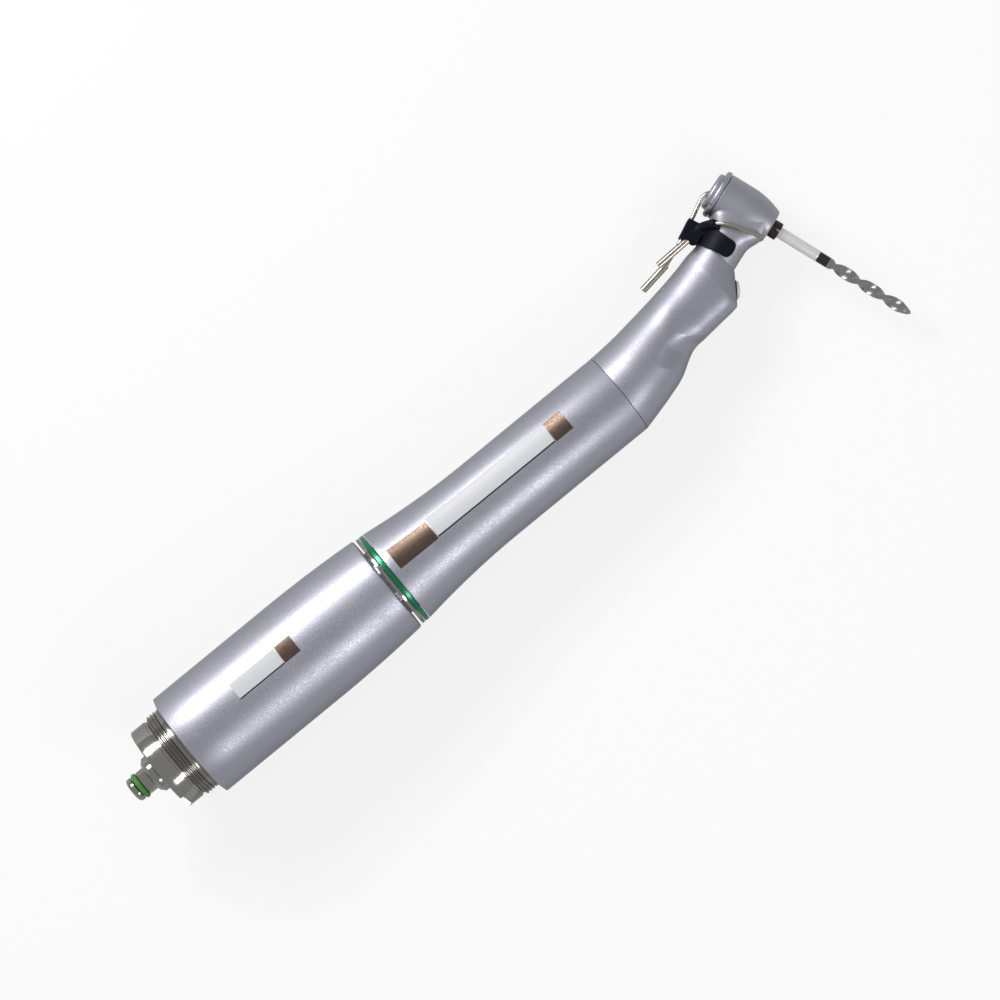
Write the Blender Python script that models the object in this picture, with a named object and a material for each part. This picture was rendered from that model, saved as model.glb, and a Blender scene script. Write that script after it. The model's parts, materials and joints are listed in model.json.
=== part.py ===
# Dental contra-angle handpiece (20:1 implant type) on an electric micromotor.
#
# The handpiece is modelled in its own frame: +X runs forward along the motor's axis from
# the rear edge of the motor casing, +Y points to the push-button side of the head, and +Z
# points to the side that carries the outer spray tube. An empty at the top of the tree
# then lays it on a table, nose down until the head's cap ring touches.

import bmesh
import bpy
from math import atan2, cos, pi, radians, sin, tan
from mathutils import Matrix, Vector

MM = 0.001
TAU = 2.0 * pi

# How round the turned pieces are
BIG_ROUND = 32
INNER_ROUND = 20
SMALL_ROUND = 14
TUBE_ROUND_COUNT = 2

RINGS_PER_SECTION = 3

# Clearances
SEAT_GAP = 0.20 * MM
FINE_GAP = 0.12 * MM
AIR_GAP = 0.40 * MM
CUT_OVERRUN = 1.0 * MM
TOOTH_GAP = 0.40 * MM

# Motor casing, measured from its rear edge
CASING_RADIUS = 12.0 * MM
CASING_LENGTH = 52.2 * MM
CASING_STRAIGHT = 30.0 * MM
CASING_NOSE_DROP = 0.85 * MM
CASING_WALL = 1.4 * MM
CASING_REAR_BEVEL = 0.7 * MM

# Rear connector of the motor
COLLAR_RADIUS = 10.0 * MM
COLLAR_LENGTH = 3.4 * MM
COLLAR_WALL = 1.1 * MM
COLLAR_PLUG = 4.0 * MM
THREAD_LENGTH = 2.3 * MM
THREAD_RELIEF = 0.4 * MM
SKIRT_LENGTH = 4.1 * MM
SKIRT_WALL = 0.8 * MM
SKIRT_STEP = 0.35 * MM
KEYWAY_WIDTH = 2.4 * MM
KEYWAY_DEPTH = 1.1 * MM
INSULATOR_LENGTH = 5.0 * MM
INSULATOR_RECESS = 2.6 * MM
PIN_RADIUS = 0.6 * MM
PIN_STAND = 1.8 * MM
PIN_CIRCLE = 5.9 * MM
PIN_COUNT = 3
NIPPLE_RADIUS = 2.65 * MM
NIPPLE_TIP = 14.9 * MM
NIPPLE_FLANGE_RADIUS = 4.2 * MM
NIPPLE_FLANGE_REAR = 10.2 * MM
NIPPLE_FLANGE_LENGTH = 2.2 * MM
NIPPLE_BORE = 1.1 * MM
NIPPLE_RING_FROM_TIP = 2.05 * MM
NIPPLE_RING_WIRE = 0.62 * MM

# Inside of the motor
SHAFT_RADIUS = 2.0 * MM
STATOR_WALL = 2.4 * MM
WINDING_WALL = 1.7 * MM
STATOR_START = 10.0 * MM
STATOR_LENGTH = 26.0 * MM
WINDING_OVERHANG = 1.8 * MM
REAR_PLATE_LENGTH = 2.6 * MM
FRONT_PLATE_LENGTH = 6.0 * MM
BEARING_DEPTH = 3.5 * MM
BEARING_WIDTH = 2.2 * MM
BALL_COUNT = 6

# Motor nose, the plug that the handpiece turns on
NOSE_RADIUS = 7.7 * MM
NOSE_LENGTH = 23.0 * MM
NOSE_BORE = 5.4 * MM
NOSE_RING_WIRE = 0.42 * MM
NOSE_RING_SPACING = 5.0 * MM
NOSE_RING_FIRST = 5.5 * MM
LATCH_FROM_FRONT = 4.2 * MM
LATCH_WIRE = 0.5 * MM
LAMP_RADIUS = 0.9 * MM
LAMP_LENGTH = 2.6 * MM

# Rings between motor and handle
MOTOR_SPLIT = 0.5 * MM
BRIGHT_RING_LENGTH = 0.7 * MM
GREEN_RING_LENGTH = 1.0 * MM
RING_RADIUS = 10.9 * MM

# Handle sleeve, from the green ring to the split line
SLEEVE_WALL = 0.55 * MM
HANDLE_WALL = 0.65 * MM
HANDLE_LENGTH = 58.6 * MM
HANDLE_FLARE_LENGTH = 25.0 * MM

# Planetary gear stages, both with the same tooth numbers
GEAR_MODULE = 0.2 * MM
SUN_TEETH = 12
PLANET_TEETH = 15
RING_TEETH = SUN_TEETH + 2 * PLANET_TEETH
PLANET_COUNT = 3
PLANET_WIDTH = 4.0 * MM
PLANET_PIN_RADIUS = 0.5 * MM
RING_GEAR_WALL = 0.95 * MM
CARRIER_PLATE = 1.6 * MM
SLEEVE_WALL_LENGTH = 2.0 * MM
HOUSING_LIP = 1.2 * MM
INPUT_STEP = 0.4 * MM
HOUSING_NOSE = 3.0 * MM
INPUT_SHAFT_RADIUS = 1.6 * MM
DOG_WIDTH = 1.2 * MM
DOG_LENGTH = 2.2 * MM
OUTPUT_SHAFT_RADIUS = 1.5 * MM
BUSH_WALL = 0.8 * MM

# Gooseneck: the neck leaves the motor's axis at BEND_X and climbs at BEND_ANGLE
BEND_FROM_SPLIT = 7.4 * MM
BEND_ANGLE = radians(19.0)
BEND_TEETH = 16
BEND_GEAR_RADIUS = 2.9 * MM
BEND_FACE = 1.1 * MM
BEND_GEAR_DEPTH = 2.4 * MM
NECK_SHAFT_RADIUS = 1.2 * MM
SHOULDER_REACH = 26.4 * MM
SPIGOT_LENGTH = 5.0 * MM
GEAR_ROOM_GAP = 0.75 * MM
GEAR_ROOM_LENGTH = 3.2 * MM
GEAR_ROOM_OVERLAP = 0.6 * MM
BEND_BUSH_LENGTH = 2.8 * MM
SHOULDER_FLARE = 1.08

# Grip pressed into both flanks of the gooseneck
GRIP_DEPTH = 1.2 * MM
BELLY_FULLNESS = 0.9

# Neck and head
NECK_RADIUS = 4.4 * MM
NECK_WALL = 0.8 * MM
HEAD_FROM_SHOULDER = 11.9 * MM
FLARE_BEFORE_BARREL = 2.1 * MM
FLARE_LENGTH = 4.8 * MM
FLARE_INSET = 0.3 * MM
FLARE_NARROWING = 0.5 * MM
NECK_BUSH_LENGTH = 2.8 * MM
NECK_BUSH_FROM_HEAD = 8.4 * MM
BARREL_RADIUS = 5.0 * MM
BARREL_WALL = 0.95 * MM
BARREL_TOP = 6.0 * MM
BARREL_BOTTOM = 6.2 * MM
BARREL_FOOT_RADIUS = 3.35 * MM
BARREL_MOUTH_RADIUS = 2.25 * MM
BARREL_STRAIGHT_END = 0.4 * MM
BARREL_FOOT_BEVEL = 0.35 * MM
BARREL_FOOT_EDGE = 0.1 * MM
CAP_THREAD_WALL = 0.35 * MM
LOWER_BEARING_LIP = 0.6 * MM
HEAD_TEETH = 15
HEAD_GEAR_RADIUS = 3.0 * MM
HEAD_FACE = 1.1 * MM
HEAD_GEAR_DEPTH = 0.45 * MM

# Cap ring and push button
CAP_RING_RADIUS = 5.2 * MM
CAP_RING_HEIGHT = 1.1 * MM
CAP_SKIRT_WALL = 0.4 * MM
CAP_NOTCHES = 5
CAP_NOTCH_RADIUS = 0.6 * MM
CAP_NOTCH_TURN = radians(48.7)
CAP_BEVEL = 0.3 * MM
BUTTON_STAND = 1.1 * MM
BUTTON_TRAVEL = 0.8 * MM
BUTTON_THICKNESS = 1.3 * MM
BUTTON_FUNNEL_DEPTH = 0.9 * MM
BUTTON_FUNNEL_WIDTH = 1.2 * MM
BUTTON_HOLE = 0.62 * MM
BUTTON_WALL = 0.5 * MM
BUTTON_SKIRT = 0.9 * MM
BUTTON_DOME = 0.5 * MM
SPRING_WIRE = 0.16 * MM
SPRING_TURNS = 2.5

# Spindle, chuck and drill
SHANK_RADIUS = 1.175 * MM
SPINDLE_WALL = 0.45 * MM
UPPER_RACE_WALL = 0.62 * MM
LOWER_RACE_WALL = 0.35 * MM
UPPER_BALL_RADIUS = 0.42 * MM
LOWER_BALL_RADIUS = 0.24 * MM
HEAD_BEARING_WIDTH = 1.3 * MM
BALL_SEAT = 0.45
COLLAR_DROP = 1.8 * MM
LATCH_LENGTH = 1.2 * MM
CHUCK_COLLAR_WALL = 0.6 * MM
COLLAR_BEVEL = 0.2 * MM
COLLAR_SLOT_WIDTH = 0.4 * MM
COLLAR_SLOT_DEPTH = 0.8 * MM
LATCH_SLOT_WIDTH = 0.5 * MM
LATCH_FLOOR = 0.5 * MM
DRILL_TIP = 39.75 * MM
SHANK_END = 17.4 * MM
FLUTE_RADIUS = 1.25 * MM
FLUTE_START = 21.6 * MM
FLUTE_PITCH = 12.0 * MM
FLUTE_RUNOUT = 1.2 * MM
FLUTE_DEPTH = 0.66
SHANK_TOP = 0.5 * MM
SHANK_BEVEL = 0.2 * MM
BAND_STEP = 0.15 * MM
POINT_ANGLE = radians(59.0)
FLAT_LENGTH = 2.2 * MM

# Nozzle clip and its tubes
CLIP_FROM_SHOULDER = 1.2 * MM
CLIP_LENGTH = 4.2 * MM
CLIP_WALL = 0.7 * MM
CLIP_LEG = 2.2 * MM
CLIP_SLANT = 0.5 * MM
CLIP_CORNER = 1.3 * MM
CLIP_HOLDER_WALL = 0.4 * MM
TAB_LOW_SIDE = 1.9 * MM
TAB_WIDTH = 4.6 * MM
TUBE_SIDE = 1.6 * MM
TUBE_OVER_CLIP = 1.7 * MM
STUB_RISE = 2.35 * MM
STUB_NEAR_REACH = 7.8 * MM
STUB_FAR_REACH = 13.5 * MM
STUB_RADIUS = 0.75 * MM
SPRAY_RADIUS = 0.475 * MM
IRRIGATION_RADIUS = 0.45 * MM

# Light
LIGHT_ROD_RADIUS = 0.75 * MM
LENS_LENGTH = 4.2 * MM
LENS_WIDTH = 3.0 * MM
LENS_STAND = 0.4 * MM
LENS_DEPTH = 1.2 * MM
LENS_RISE = 0.62

# Places along the motor's axis, worked out from the sizes above
NOSE_START = CASING_LENGTH
BRIGHT_RING_X = CASING_LENGTH + MOTOR_SPLIT
GREEN_RING_X = BRIGHT_RING_X + BRIGHT_RING_LENGTH + FINE_GAP
HANDLE_X = GREEN_RING_X + GREEN_RING_LENGTH + FINE_GAP
SPLIT_X = HANDLE_X + HANDLE_LENGTH
NOSE_END = CASING_LENGTH + MOTOR_SPLIT + NOSE_LENGTH
BEND_X = SPLIT_X + BEND_FROM_SPLIT
HEAD_REACH = SHOULDER_REACH + HEAD_FROM_SHOULDER
CLIP_START = SHOULDER_REACH + CLIP_FROM_SHOULDER

# Radii that follow from what they hold
CASING_BORE = CASING_RADIUS - CASING_WALL
SLEEVE_BORE = NOSE_RADIUS + FINE_GAP
SLEEVE_RADIUS = SLEEVE_BORE + SLEEVE_WALL
HANDLE_BORE = SLEEVE_RADIUS + FINE_GAP
HANDLE_RADIUS = HANDLE_BORE + HANDLE_WALL


def srgb(code):
    """Linear colour of a six-figure hex code."""
    parts = [int(code[n:n + 2], 16) / 255.0 for n in (0, 2, 4)]
    return [p / 12.92 if p <= 0.04045 else ((p + 0.055) / 1.055) ** 2.4 for p in parts]


def material(name, code, roughness, metallic):
    made = bpy.data.materials.new(name)
    made.use_nodes = True
    shader = made.node_tree.nodes["Principled BSDF"]
    shader.inputs["Base Color"].default_value = srgb(code) + [1.0]
    shader.inputs["Roughness"].default_value = roughness
    shader.inputs["Metallic"].default_value = metallic
    return made


def empty(name, parent=None, location=(0, 0, 0), turn_z=0.0):
    made = bpy.data.objects.new(name, None)
    bpy.context.collection.objects.link(made)
    made.parent = parent
    made.location = location
    made.rotation_euler = (0.0, 0.0, turn_z)
    return made


def piece(name, bm, finish, parent, location=(0, 0, 0), turn_x=0.0, merge=True):
    """Make a named object of a finished bmesh, shaded smooth with sharp edges."""
    if merge:
        bmesh.ops.remove_doubles(bm, verts=bm.verts, dist=1e-7)
    bmesh.ops.recalc_face_normals(bm, faces=bm.faces)
    mesh = bpy.data.meshes.new(name)
    bm.to_mesh(mesh)
    bm.free()
    mesh.shade_smooth()
    mesh.set_sharp_from_angle(angle=radians(32.0))
    mesh.materials.append(finish)
    made = bpy.data.objects.new(name, mesh)
    bpy.context.collection.objects.link(made)
    made.parent = parent
    made.location = location
    made.rotation_euler = (turn_x, 0.0, 0.0)
    return made


def change(target, tool, operation):
    """Cut a tool out of an object, or join it on, and hide the tool."""
    tool.hide_render = True
    tool.display_type = "WIRE"
    tool.name = "tool_" + tool.name
    boolean = target.modifiers.new(tool.name, "BOOLEAN")
    boolean.operation = operation
    boolean.solver = "EXACT"
    boolean.object = tool


def turned(outline, segments=BIG_ROUND):
    """Spin an outline of (place along X, radius) about X. One that starts and ends
    on the axis gives a solid piece, any other closes on itself as a ring."""
    bm = bmesh.new()
    verts = [bm.verts.new((x, radius, 0.0)) for x, radius in outline]
    solid = outline[0][1] == 0.0
    followers = verts[1:] if solid else verts[1:] + verts[:1]
    edges = [bm.edges.new(pair) for pair in zip(verts, followers)]
    bmesh.ops.spin(bm, geom=verts + edges, cent=(0, 0, 0), axis=(1, 0, 0),
                   dvec=(0, 0, 0), angle=TAU, steps=segments, use_merge=True)
    bmesh.ops.remove_doubles(bm, verts=bm.verts, dist=1e-7)
    return bm


def rod(start, end, radius):
    return [(start, 0.0), (start, radius), (end, radius), (end, 0.0)]


def ring(start, end, inner, outer):
    return [(start, inner), (start, outer), (end, outer), (end, inner)]


def arc_points(middle, radius, start, end, steps):
    """Points on an arc about a middle (x, radius), angles counted from +X."""
    return [(middle[0] + radius * cos(start + (end - start) * n / steps),
             middle[1] + radius * sin(start + (end - start) * n / steps))
            for n in range(steps + 1)]


def o_ring(place, middle_radius, wire):
    """Outline of a round rubber ring."""
    return arc_points((place, middle_radius), wire, 0.0, TAU * 5 / 6, 5)


def loft(rings, wrap=False):
    """Skin a row of rings that all have the same number of points. A row that wraps
    joins its last ring to its first, any other gets a flat cap at each end."""
    bm = bmesh.new()
    loops = [[bm.verts.new(point) for point in one] for one in rings]
    count = len(loops[0])
    pairs = list(zip(loops, loops[1:]))
    if wrap:
        pairs.append((loops[-1], loops[0]))
    for near, far in pairs:
        for n in range(count):
            m = (n + 1) % count
            bm.faces.new((near[n], near[m], far[m], far[n]))
    if not wrap:
        bm.faces.new(loops[0])
        bm.faces.new(loops[-1])
    return bm


# Slim teeth, so that polygon flanks roll past each other with backlash to spare
TOOTH_ROOT_SHARE = 0.44
TOOTH_TIP_SHARE = 0.20
ADDENDUM = 0.80
DEDENDUM = 1.20


def tooth_corners(teeth, phase=0.0):
    """Angle and height, 0 for root and 1 for tip, of each tooth's four corners."""
    step = TAU / teeth
    corners = []
    for n in range(teeth):
        middle = phase + n * step
        corners.append((middle - TOOTH_ROOT_SHARE * step / 2, 0))
        corners.append((middle - TOOTH_TIP_SHARE * step / 2, 1))
        corners.append((middle + TOOTH_TIP_SHARE * step / 2, 1))
        corners.append((middle + TOOTH_ROOT_SHARE * step / 2, 0))
    return corners


def plain_ring(x, radius, corners):
    return [Vector((x, radius * cos(a), radius * sin(a))) for a, _ in corners]


def spur_ring(x, pitch_radius, module, corners, inward=False):
    """One end face of a spur gear's teeth, which point inward on a ring gear."""
    side = -1.0 if inward else 1.0
    radii = (pitch_radius - side * DEDENDUM * module, pitch_radius + side * ADDENDUM * module)
    return [Vector((x, radii[h] * cos(a), radii[h] * sin(a))) for a, h in corners]


def bevel_ring(apex, side, pitch_radius, cone, module, corners, share):
    """Tooth corners of a bevel gear at a share of its cone distance. The apex lies on
    the X axis, and side is 1 for a gear behind it or -1 for one in front of it."""
    distance = pitch_radius / sin(cone)
    points = []
    for angle, height in corners:
        lift = ADDENDUM * module if height else -DEDENDUM * module
        along = -distance * cos(cone) + lift * sin(cone)
        out = distance * sin(cone) + lift * cos(cone)
        points.append(Vector((apex + side * along * share, out * share * cos(angle),
                              out * share * sin(angle))))
    return points


def curve_through(a, b, c, d, t):
    """A value between b and c on the smooth curve through four values."""
    return 0.5 * (2 * b + (c - a) * t + (2 * a - 5 * b + 4 * c - d) * t * t
                  + (3 * b - a - 3 * c + d) * t ** 3)


def eased(value, start, end):
    """Rises smoothly from 0 to 1 between two values."""
    share = min(1.0, max(0.0, (value - start) / (end - start)))
    return share * share * (3.0 - 2.0 * share)


def tube_mesh(name, route, radius, finish, parent, smooth_steps=3,
              smoothness=TUBE_ROUND_COUNT, lengthen=0.0):
    """A round bar bent along a route of chosen points, rounded between them."""
    points = []
    padded = [2 * route[0] - route[1]] + route + [2 * route[-1] - route[-2]]
    for a, b, c, d in zip(padded, padded[1:], padded[2:], padded[3:]):
        points += [curve_through(a, b, c, d, n / smooth_steps) for n in range(smooth_steps)]
    points.append(route[-1])
    points[0] = points[0] + (points[0] - points[1]).normalized() * lengthen
    points[-1] = points[-1] + (points[-1] - points[-2]).normalized() * lengthen
    curve = bpy.data.curves.new(name, "CURVE")
    curve.dimensions = "3D"
    curve.bevel_depth = radius
    curve.bevel_resolution = smoothness
    curve.use_fill_caps = True
    spline = curve.splines.new("POLY")
    spline.points.add(len(points) - 1)
    for place, point in zip(spline.points, points):
        place.co = (*point, 1.0)
    shaper = bpy.data.objects.new(name + "_route", curve)
    bpy.context.collection.objects.link(shaper)
    drawn = shaper.evaluated_get(bpy.context.evaluated_depsgraph_get())
    mesh = bpy.data.meshes.new_from_object(drawn)
    bm = bmesh.new()
    bm.from_mesh(mesh)
    bpy.data.objects.remove(shaper)
    return piece(name, bm, finish, parent)


def open_bearing(name, place, inner, race_wall, ball_radius, finish, head):
    """A head bearing as two pieces: inner race with its balls, and outer race."""
    inner_top = inner + race_wall
    ball_circle = inner_top + ball_radius * BALL_SEAT
    outer_bore = ball_circle + ball_radius + FINE_GAP / 2
    end = place + HEAD_BEARING_WIDTH
    middle = place + HEAD_BEARING_WIDTH / 2
    race = piece(name + "_inner_race_with_balls",
                 turned(ring(place, end, inner, inner_top), SMALL_ROUND), finish["steel"], head)
    for n in range(BALL_COUNT):
        angle = TAU * (n + 0.5) / BALL_COUNT
        bm = bmesh.new()
        bmesh.ops.create_uvsphere(bm, u_segments=6, v_segments=4, radius=ball_radius)
        ball = piece("%s_ball_%d" % (name, n), bm, finish["steel"], head,
                     location=(middle, ball_circle * cos(angle), ball_circle * sin(angle)))
        change(race, ball, "UNION")
    outer = outer_bore + race_wall
    piece(name + "_outer_race", turned(ring(place, end, outer_bore, outer), INNER_ROUND),
          finish["steel"], head)


def outer_race_radius(inner, race_wall, ball_radius):
    """Outside radius of a bearing that the function above makes."""
    return inner + 2 * race_wall + (1.0 + BALL_SEAT) * ball_radius + FINE_GAP / 2


def shielded_bearing(name, place, inner, outer, finish, frame):
    """A closed motor bearing, whose shields lie a little below its two races."""
    lip = (outer - inner) * 0.25
    dip = BEARING_WIDTH * 0.1
    end = place + BEARING_WIDTH
    outline = [(place, inner), (place, inner + lip), (place + dip, inner + lip),
               (place + dip, outer - lip), (place, outer - lip), (place, outer),
               (end, outer), (end, outer - lip), (end - dip, outer - lip),
               (end - dip, inner + lip), (end, inner + lip), (end, inner)]
    piece(name, turned(outline, SMALL_ROUND), finish["steel"], frame)


def cylinder(name, start, end, radius, finish, parent, segments=SMALL_ROUND,
             location=(0, 0, 0)):
    return piece(name, turned(rod(start, end, radius), segments), finish, parent,
                 location=location)


def block(name, low, high, finish, parent):
    bm = bmesh.new()
    bmesh.ops.create_cube(bm, size=1.0)
    size = Vector(high) - Vector(low)
    middle = (Vector(high) + Vector(low)) / 2
    bmesh.ops.scale(bm, vec=size, verts=bm.verts)
    bmesh.ops.translate(bm, vec=middle, verts=bm.verts)
    return piece(name, bm, finish, parent)


def make_rear_connector(frame, finish):
    """Threaded collar, keyed skirt, insulator with its pins, and the air nipple."""
    collar_start = -COLLAR_LENGTH
    root = COLLAR_RADIUS - THREAD_RELIEF
    plug_radius = CASING_BORE - SEAT_GAP
    piece("threaded_rear_collar", turned([
        (collar_start, COLLAR_RADIUS - COLLAR_WALL), (collar_start, root),
        (collar_start + THREAD_RELIEF, COLLAR_RADIUS),
        (collar_start + THREAD_LENGTH, COLLAR_RADIUS), (collar_start + THREAD_LENGTH, root),
        (-SEAT_GAP, root), (-SEAT_GAP, plug_radius), (COLLAR_PLUG, plug_radius),
        (COLLAR_PLUG, COLLAR_RADIUS - COLLAR_WALL)]), finish["satin"], frame)

    skirt_inner_seat = COLLAR_RADIUS - COLLAR_WALL - SEAT_GAP
    skirt_radius = root
    skirt_bore = skirt_inner_seat - SKIRT_WALL
    skirt_rear = collar_start - SEAT_GAP - SKIRT_LENGTH
    skirt = piece("keyed_connector_skirt", turned([
        (skirt_rear, skirt_bore), (skirt_rear, skirt_radius - SKIRT_STEP),
        (skirt_rear + SKIRT_STEP, skirt_radius), (collar_start - SEAT_GAP, skirt_radius),
        (collar_start - SEAT_GAP, skirt_inner_seat), (COLLAR_PLUG, skirt_inner_seat),
        (COLLAR_PLUG, skirt_bore)]), finish["polished"], frame)
    key = block("keyway", (skirt_rear - KEYWAY_DEPTH, -skirt_radius * 1.2, -KEYWAY_WIDTH / 2),
                (skirt_rear + KEYWAY_DEPTH, -skirt_bore * 0.8, KEYWAY_WIDTH / 2),
                finish["steel"], frame)
    change(skirt, key, "DIFFERENCE")

    insulator_rear = skirt_rear + INSULATOR_RECESS
    insulator_end = insulator_rear + INSULATOR_LENGTH
    stem = NIPPLE_RADIUS + SEAT_GAP
    insulator = piece("contact_insulator", turned(
        ring(insulator_rear, insulator_end, stem, skirt_bore - SEAT_GAP), INNER_ROUND),
        finish["black"], frame)
    for n in range(PIN_COUNT):
        angle = TAU * (n + 0.5) / PIN_COUNT
        place = (0.0, PIN_CIRCLE * cos(angle), PIN_CIRCLE * sin(angle))
        bore = cylinder("pin_bore_%d" % (n + 1), insulator_rear - PIN_STAND,
                        insulator_end + PIN_STAND, PIN_RADIUS + FINE_GAP, finish["steel"],
                        frame, 12, place)
        change(insulator, bore, "DIFFERENCE")
        tip = insulator_rear - PIN_STAND
        piece("contact_pin_%d" % (n + 1), turned([
            (tip, 0.0), (tip, PIN_RADIUS * 0.6), (tip + PIN_RADIUS * 0.4, PIN_RADIUS),
            (insulator_end, PIN_RADIUS), (insulator_end, 0.0)], 12),
            finish["gold"], frame, place)

    tip = -NIPPLE_TIP
    groove = tip + NIPPLE_RING_FROM_TIP
    groove_half = NIPPLE_RING_WIRE + FINE_GAP
    groove_root = NIPPLE_RADIUS - NIPPLE_RING_WIRE * 1.6
    flange = -NIPPLE_FLANGE_REAR
    flange_end = flange + NIPPLE_FLANGE_LENGTH
    bevel = NIPPLE_FLANGE_LENGTH * 0.4
    round_end = NIPPLE_RADIUS * 0.25
    piece("air_nipple", turned([
        (tip, NIPPLE_BORE), (tip, NIPPLE_RADIUS - round_end),
        (tip + round_end * 0.35, NIPPLE_RADIUS - round_end * 0.3),
        (tip + round_end, NIPPLE_RADIUS), (groove - groove_half, NIPPLE_RADIUS),
        (groove - groove_half, groove_root), (groove + groove_half, groove_root),
        (groove + groove_half, NIPPLE_RADIUS), (flange, NIPPLE_RADIUS),
        (flange, NIPPLE_FLANGE_RADIUS - bevel), (flange + bevel, NIPPLE_FLANGE_RADIUS),
        (flange_end, NIPPLE_FLANGE_RADIUS), (flange_end, NIPPLE_RADIUS),
        (insulator_end, NIPPLE_RADIUS), (insulator_end, NIPPLE_BORE)], INNER_ROUND),
        finish["polished"], frame)
    piece("nipple_o_ring", turned(
        o_ring(groove, groove_root + NIPPLE_RING_WIRE + FINE_GAP / 2, NIPPLE_RING_WIRE),
        INNER_ROUND),
        finish["green_rubber"], frame)


def make_motor(frame, finish):
    """Casing, end plates, stator, nose with its seals, and the lamp."""
    front_radius = CASING_RADIUS - CASING_NOSE_DROP
    front_length = CASING_LENGTH - CASING_STRAIGHT
    outline = [(0.0, CASING_BORE), (0.0, CASING_RADIUS - CASING_REAR_BEVEL),
               (CASING_REAR_BEVEL, CASING_RADIUS), (CASING_STRAIGHT, CASING_RADIUS)]
    for n in range(1, 7):
        share = n / 6.0
        outline.append((CASING_STRAIGHT + front_length * share * 0.985,
                        CASING_RADIUS - CASING_NOSE_DROP * share ** 2))
    nose_flange = CASING_BORE - SEAT_GAP
    outline += [(CASING_LENGTH, front_radius - CASING_NOSE_DROP * 0.3),
                (CASING_LENGTH, NOSE_RADIUS + 2 * AIR_GAP),
                (CASING_LENGTH - CASING_WALL, NOSE_RADIUS + 2 * AIR_GAP),
                (CASING_LENGTH - CASING_WALL, CASING_BORE - CASING_NOSE_DROP),
                (CASING_STRAIGHT + front_length * 0.5, CASING_BORE - CASING_NOSE_DROP * 0.25),
                (CASING_STRAIGHT, CASING_BORE)]
    piece("motor_casing", turned(outline), finish["satin"], frame)

    race_inner = SHAFT_RADIUS + FINE_GAP
    race_outer = race_inner + BEARING_DEPTH
    seat = race_outer + FINE_GAP
    plate_start = COLLAR_PLUG + SEAT_GAP
    piece("motor_rear_plate", turned([
        (plate_start, SHAFT_RADIUS + AIR_GAP), (plate_start, nose_flange),
        (plate_start + REAR_PLATE_LENGTH, nose_flange), (plate_start + REAR_PLATE_LENGTH, seat),
        (plate_start + REAR_PLATE_LENGTH - BEARING_WIDTH, seat),
        (plate_start + REAR_PLATE_LENGTH - BEARING_WIDTH, SHAFT_RADIUS + AIR_GAP)],
        INNER_ROUND), finish["aluminium"], frame)
    rear_bearing = plate_start + REAR_PLATE_LENGTH - BEARING_WIDTH + SEAT_GAP
    shielded_bearing("motor_rear_bearing", rear_bearing, race_inner, race_outer, finish, frame)

    stator_end = STATOR_START + STATOR_LENGTH
    winding_outer = nose_flange - STATOR_WALL - FINE_GAP
    winding_inner = winding_outer - WINDING_WALL
    piece("stator_core", turned(ring(STATOR_START, stator_end, nose_flange - STATOR_WALL,
                                     nose_flange), INNER_ROUND), finish["steel"], frame)
    piece("stator_winding", turned(ring(STATOR_START - WINDING_OVERHANG,
                                        stator_end + WINDING_OVERHANG, winding_inner,
                                        winding_outer), INNER_ROUND), finish["copper"], frame)

    flange_start = stator_end + WINDING_OVERHANG + SEAT_GAP
    flange_end = flange_start + FRONT_PLATE_LENGTH
    front_bearing = flange_start + SEAT_GAP + FINE_GAP
    shielded_bearing("motor_front_bearing", front_bearing, race_inner, race_outer, finish,
                     frame)
    flange_radius = CASING_BORE - CASING_NOSE_DROP * 0.25 - SEAT_GAP - FINE_GAP
    groove_half = NOSE_RING_WIRE + FINE_GAP
    groove_root = NOSE_RADIUS - 2 * NOSE_RING_WIRE - FINE_GAP
    outline = [(flange_start, seat), (flange_start, flange_radius),
               (flange_end, flange_radius), (flange_end, NOSE_RADIUS)]
    grooves = [NOSE_START + NOSE_RING_FIRST + NOSE_RING_SPACING * n for n in range(3)]
    for place in grooves:
        outline += [(place - groove_half, NOSE_RADIUS), (place - groove_half, groove_root),
                    (place + groove_half, groove_root), (place + groove_half, NOSE_RADIUS)]
    latch = NOSE_END - LATCH_FROM_FRONT
    latch_half = LATCH_WIRE + FINE_GAP
    latch_root = NOSE_RADIUS - 2 * LATCH_WIRE - FINE_GAP
    chamfer = NOSE_RADIUS * 0.08
    outline += [(latch - latch_half, NOSE_RADIUS), (latch - latch_half, latch_root),
                (latch + latch_half, latch_root), (latch + latch_half, NOSE_RADIUS),
                (NOSE_END - chamfer, NOSE_RADIUS), (NOSE_END, NOSE_RADIUS - chamfer),
                (NOSE_END, NOSE_BORE), (flange_end, NOSE_BORE),
                (flange_end, SHAFT_RADIUS + AIR_GAP),
                (flange_start + BEARING_WIDTH + 2 * SEAT_GAP, SHAFT_RADIUS + AIR_GAP),
                (flange_start + BEARING_WIDTH + 2 * SEAT_GAP, seat)]
    nose = piece("motor_nose", turned(outline, INNER_ROUND), finish["satin"], frame)
    names = ("rear", "middle", "front")
    for place, which in zip(grooves, names):
        piece("nose_o_ring_" + which, turned(
            o_ring(place, NOSE_RADIUS - NOSE_RING_WIRE, NOSE_RING_WIRE),
            INNER_ROUND),
            finish["black"], frame)
    piece("nose_latch_spring", turned(
        o_ring(latch, NOSE_RADIUS - LATCH_WIRE, LATCH_WIRE), INNER_ROUND),
        finish["steel"], frame)

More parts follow.
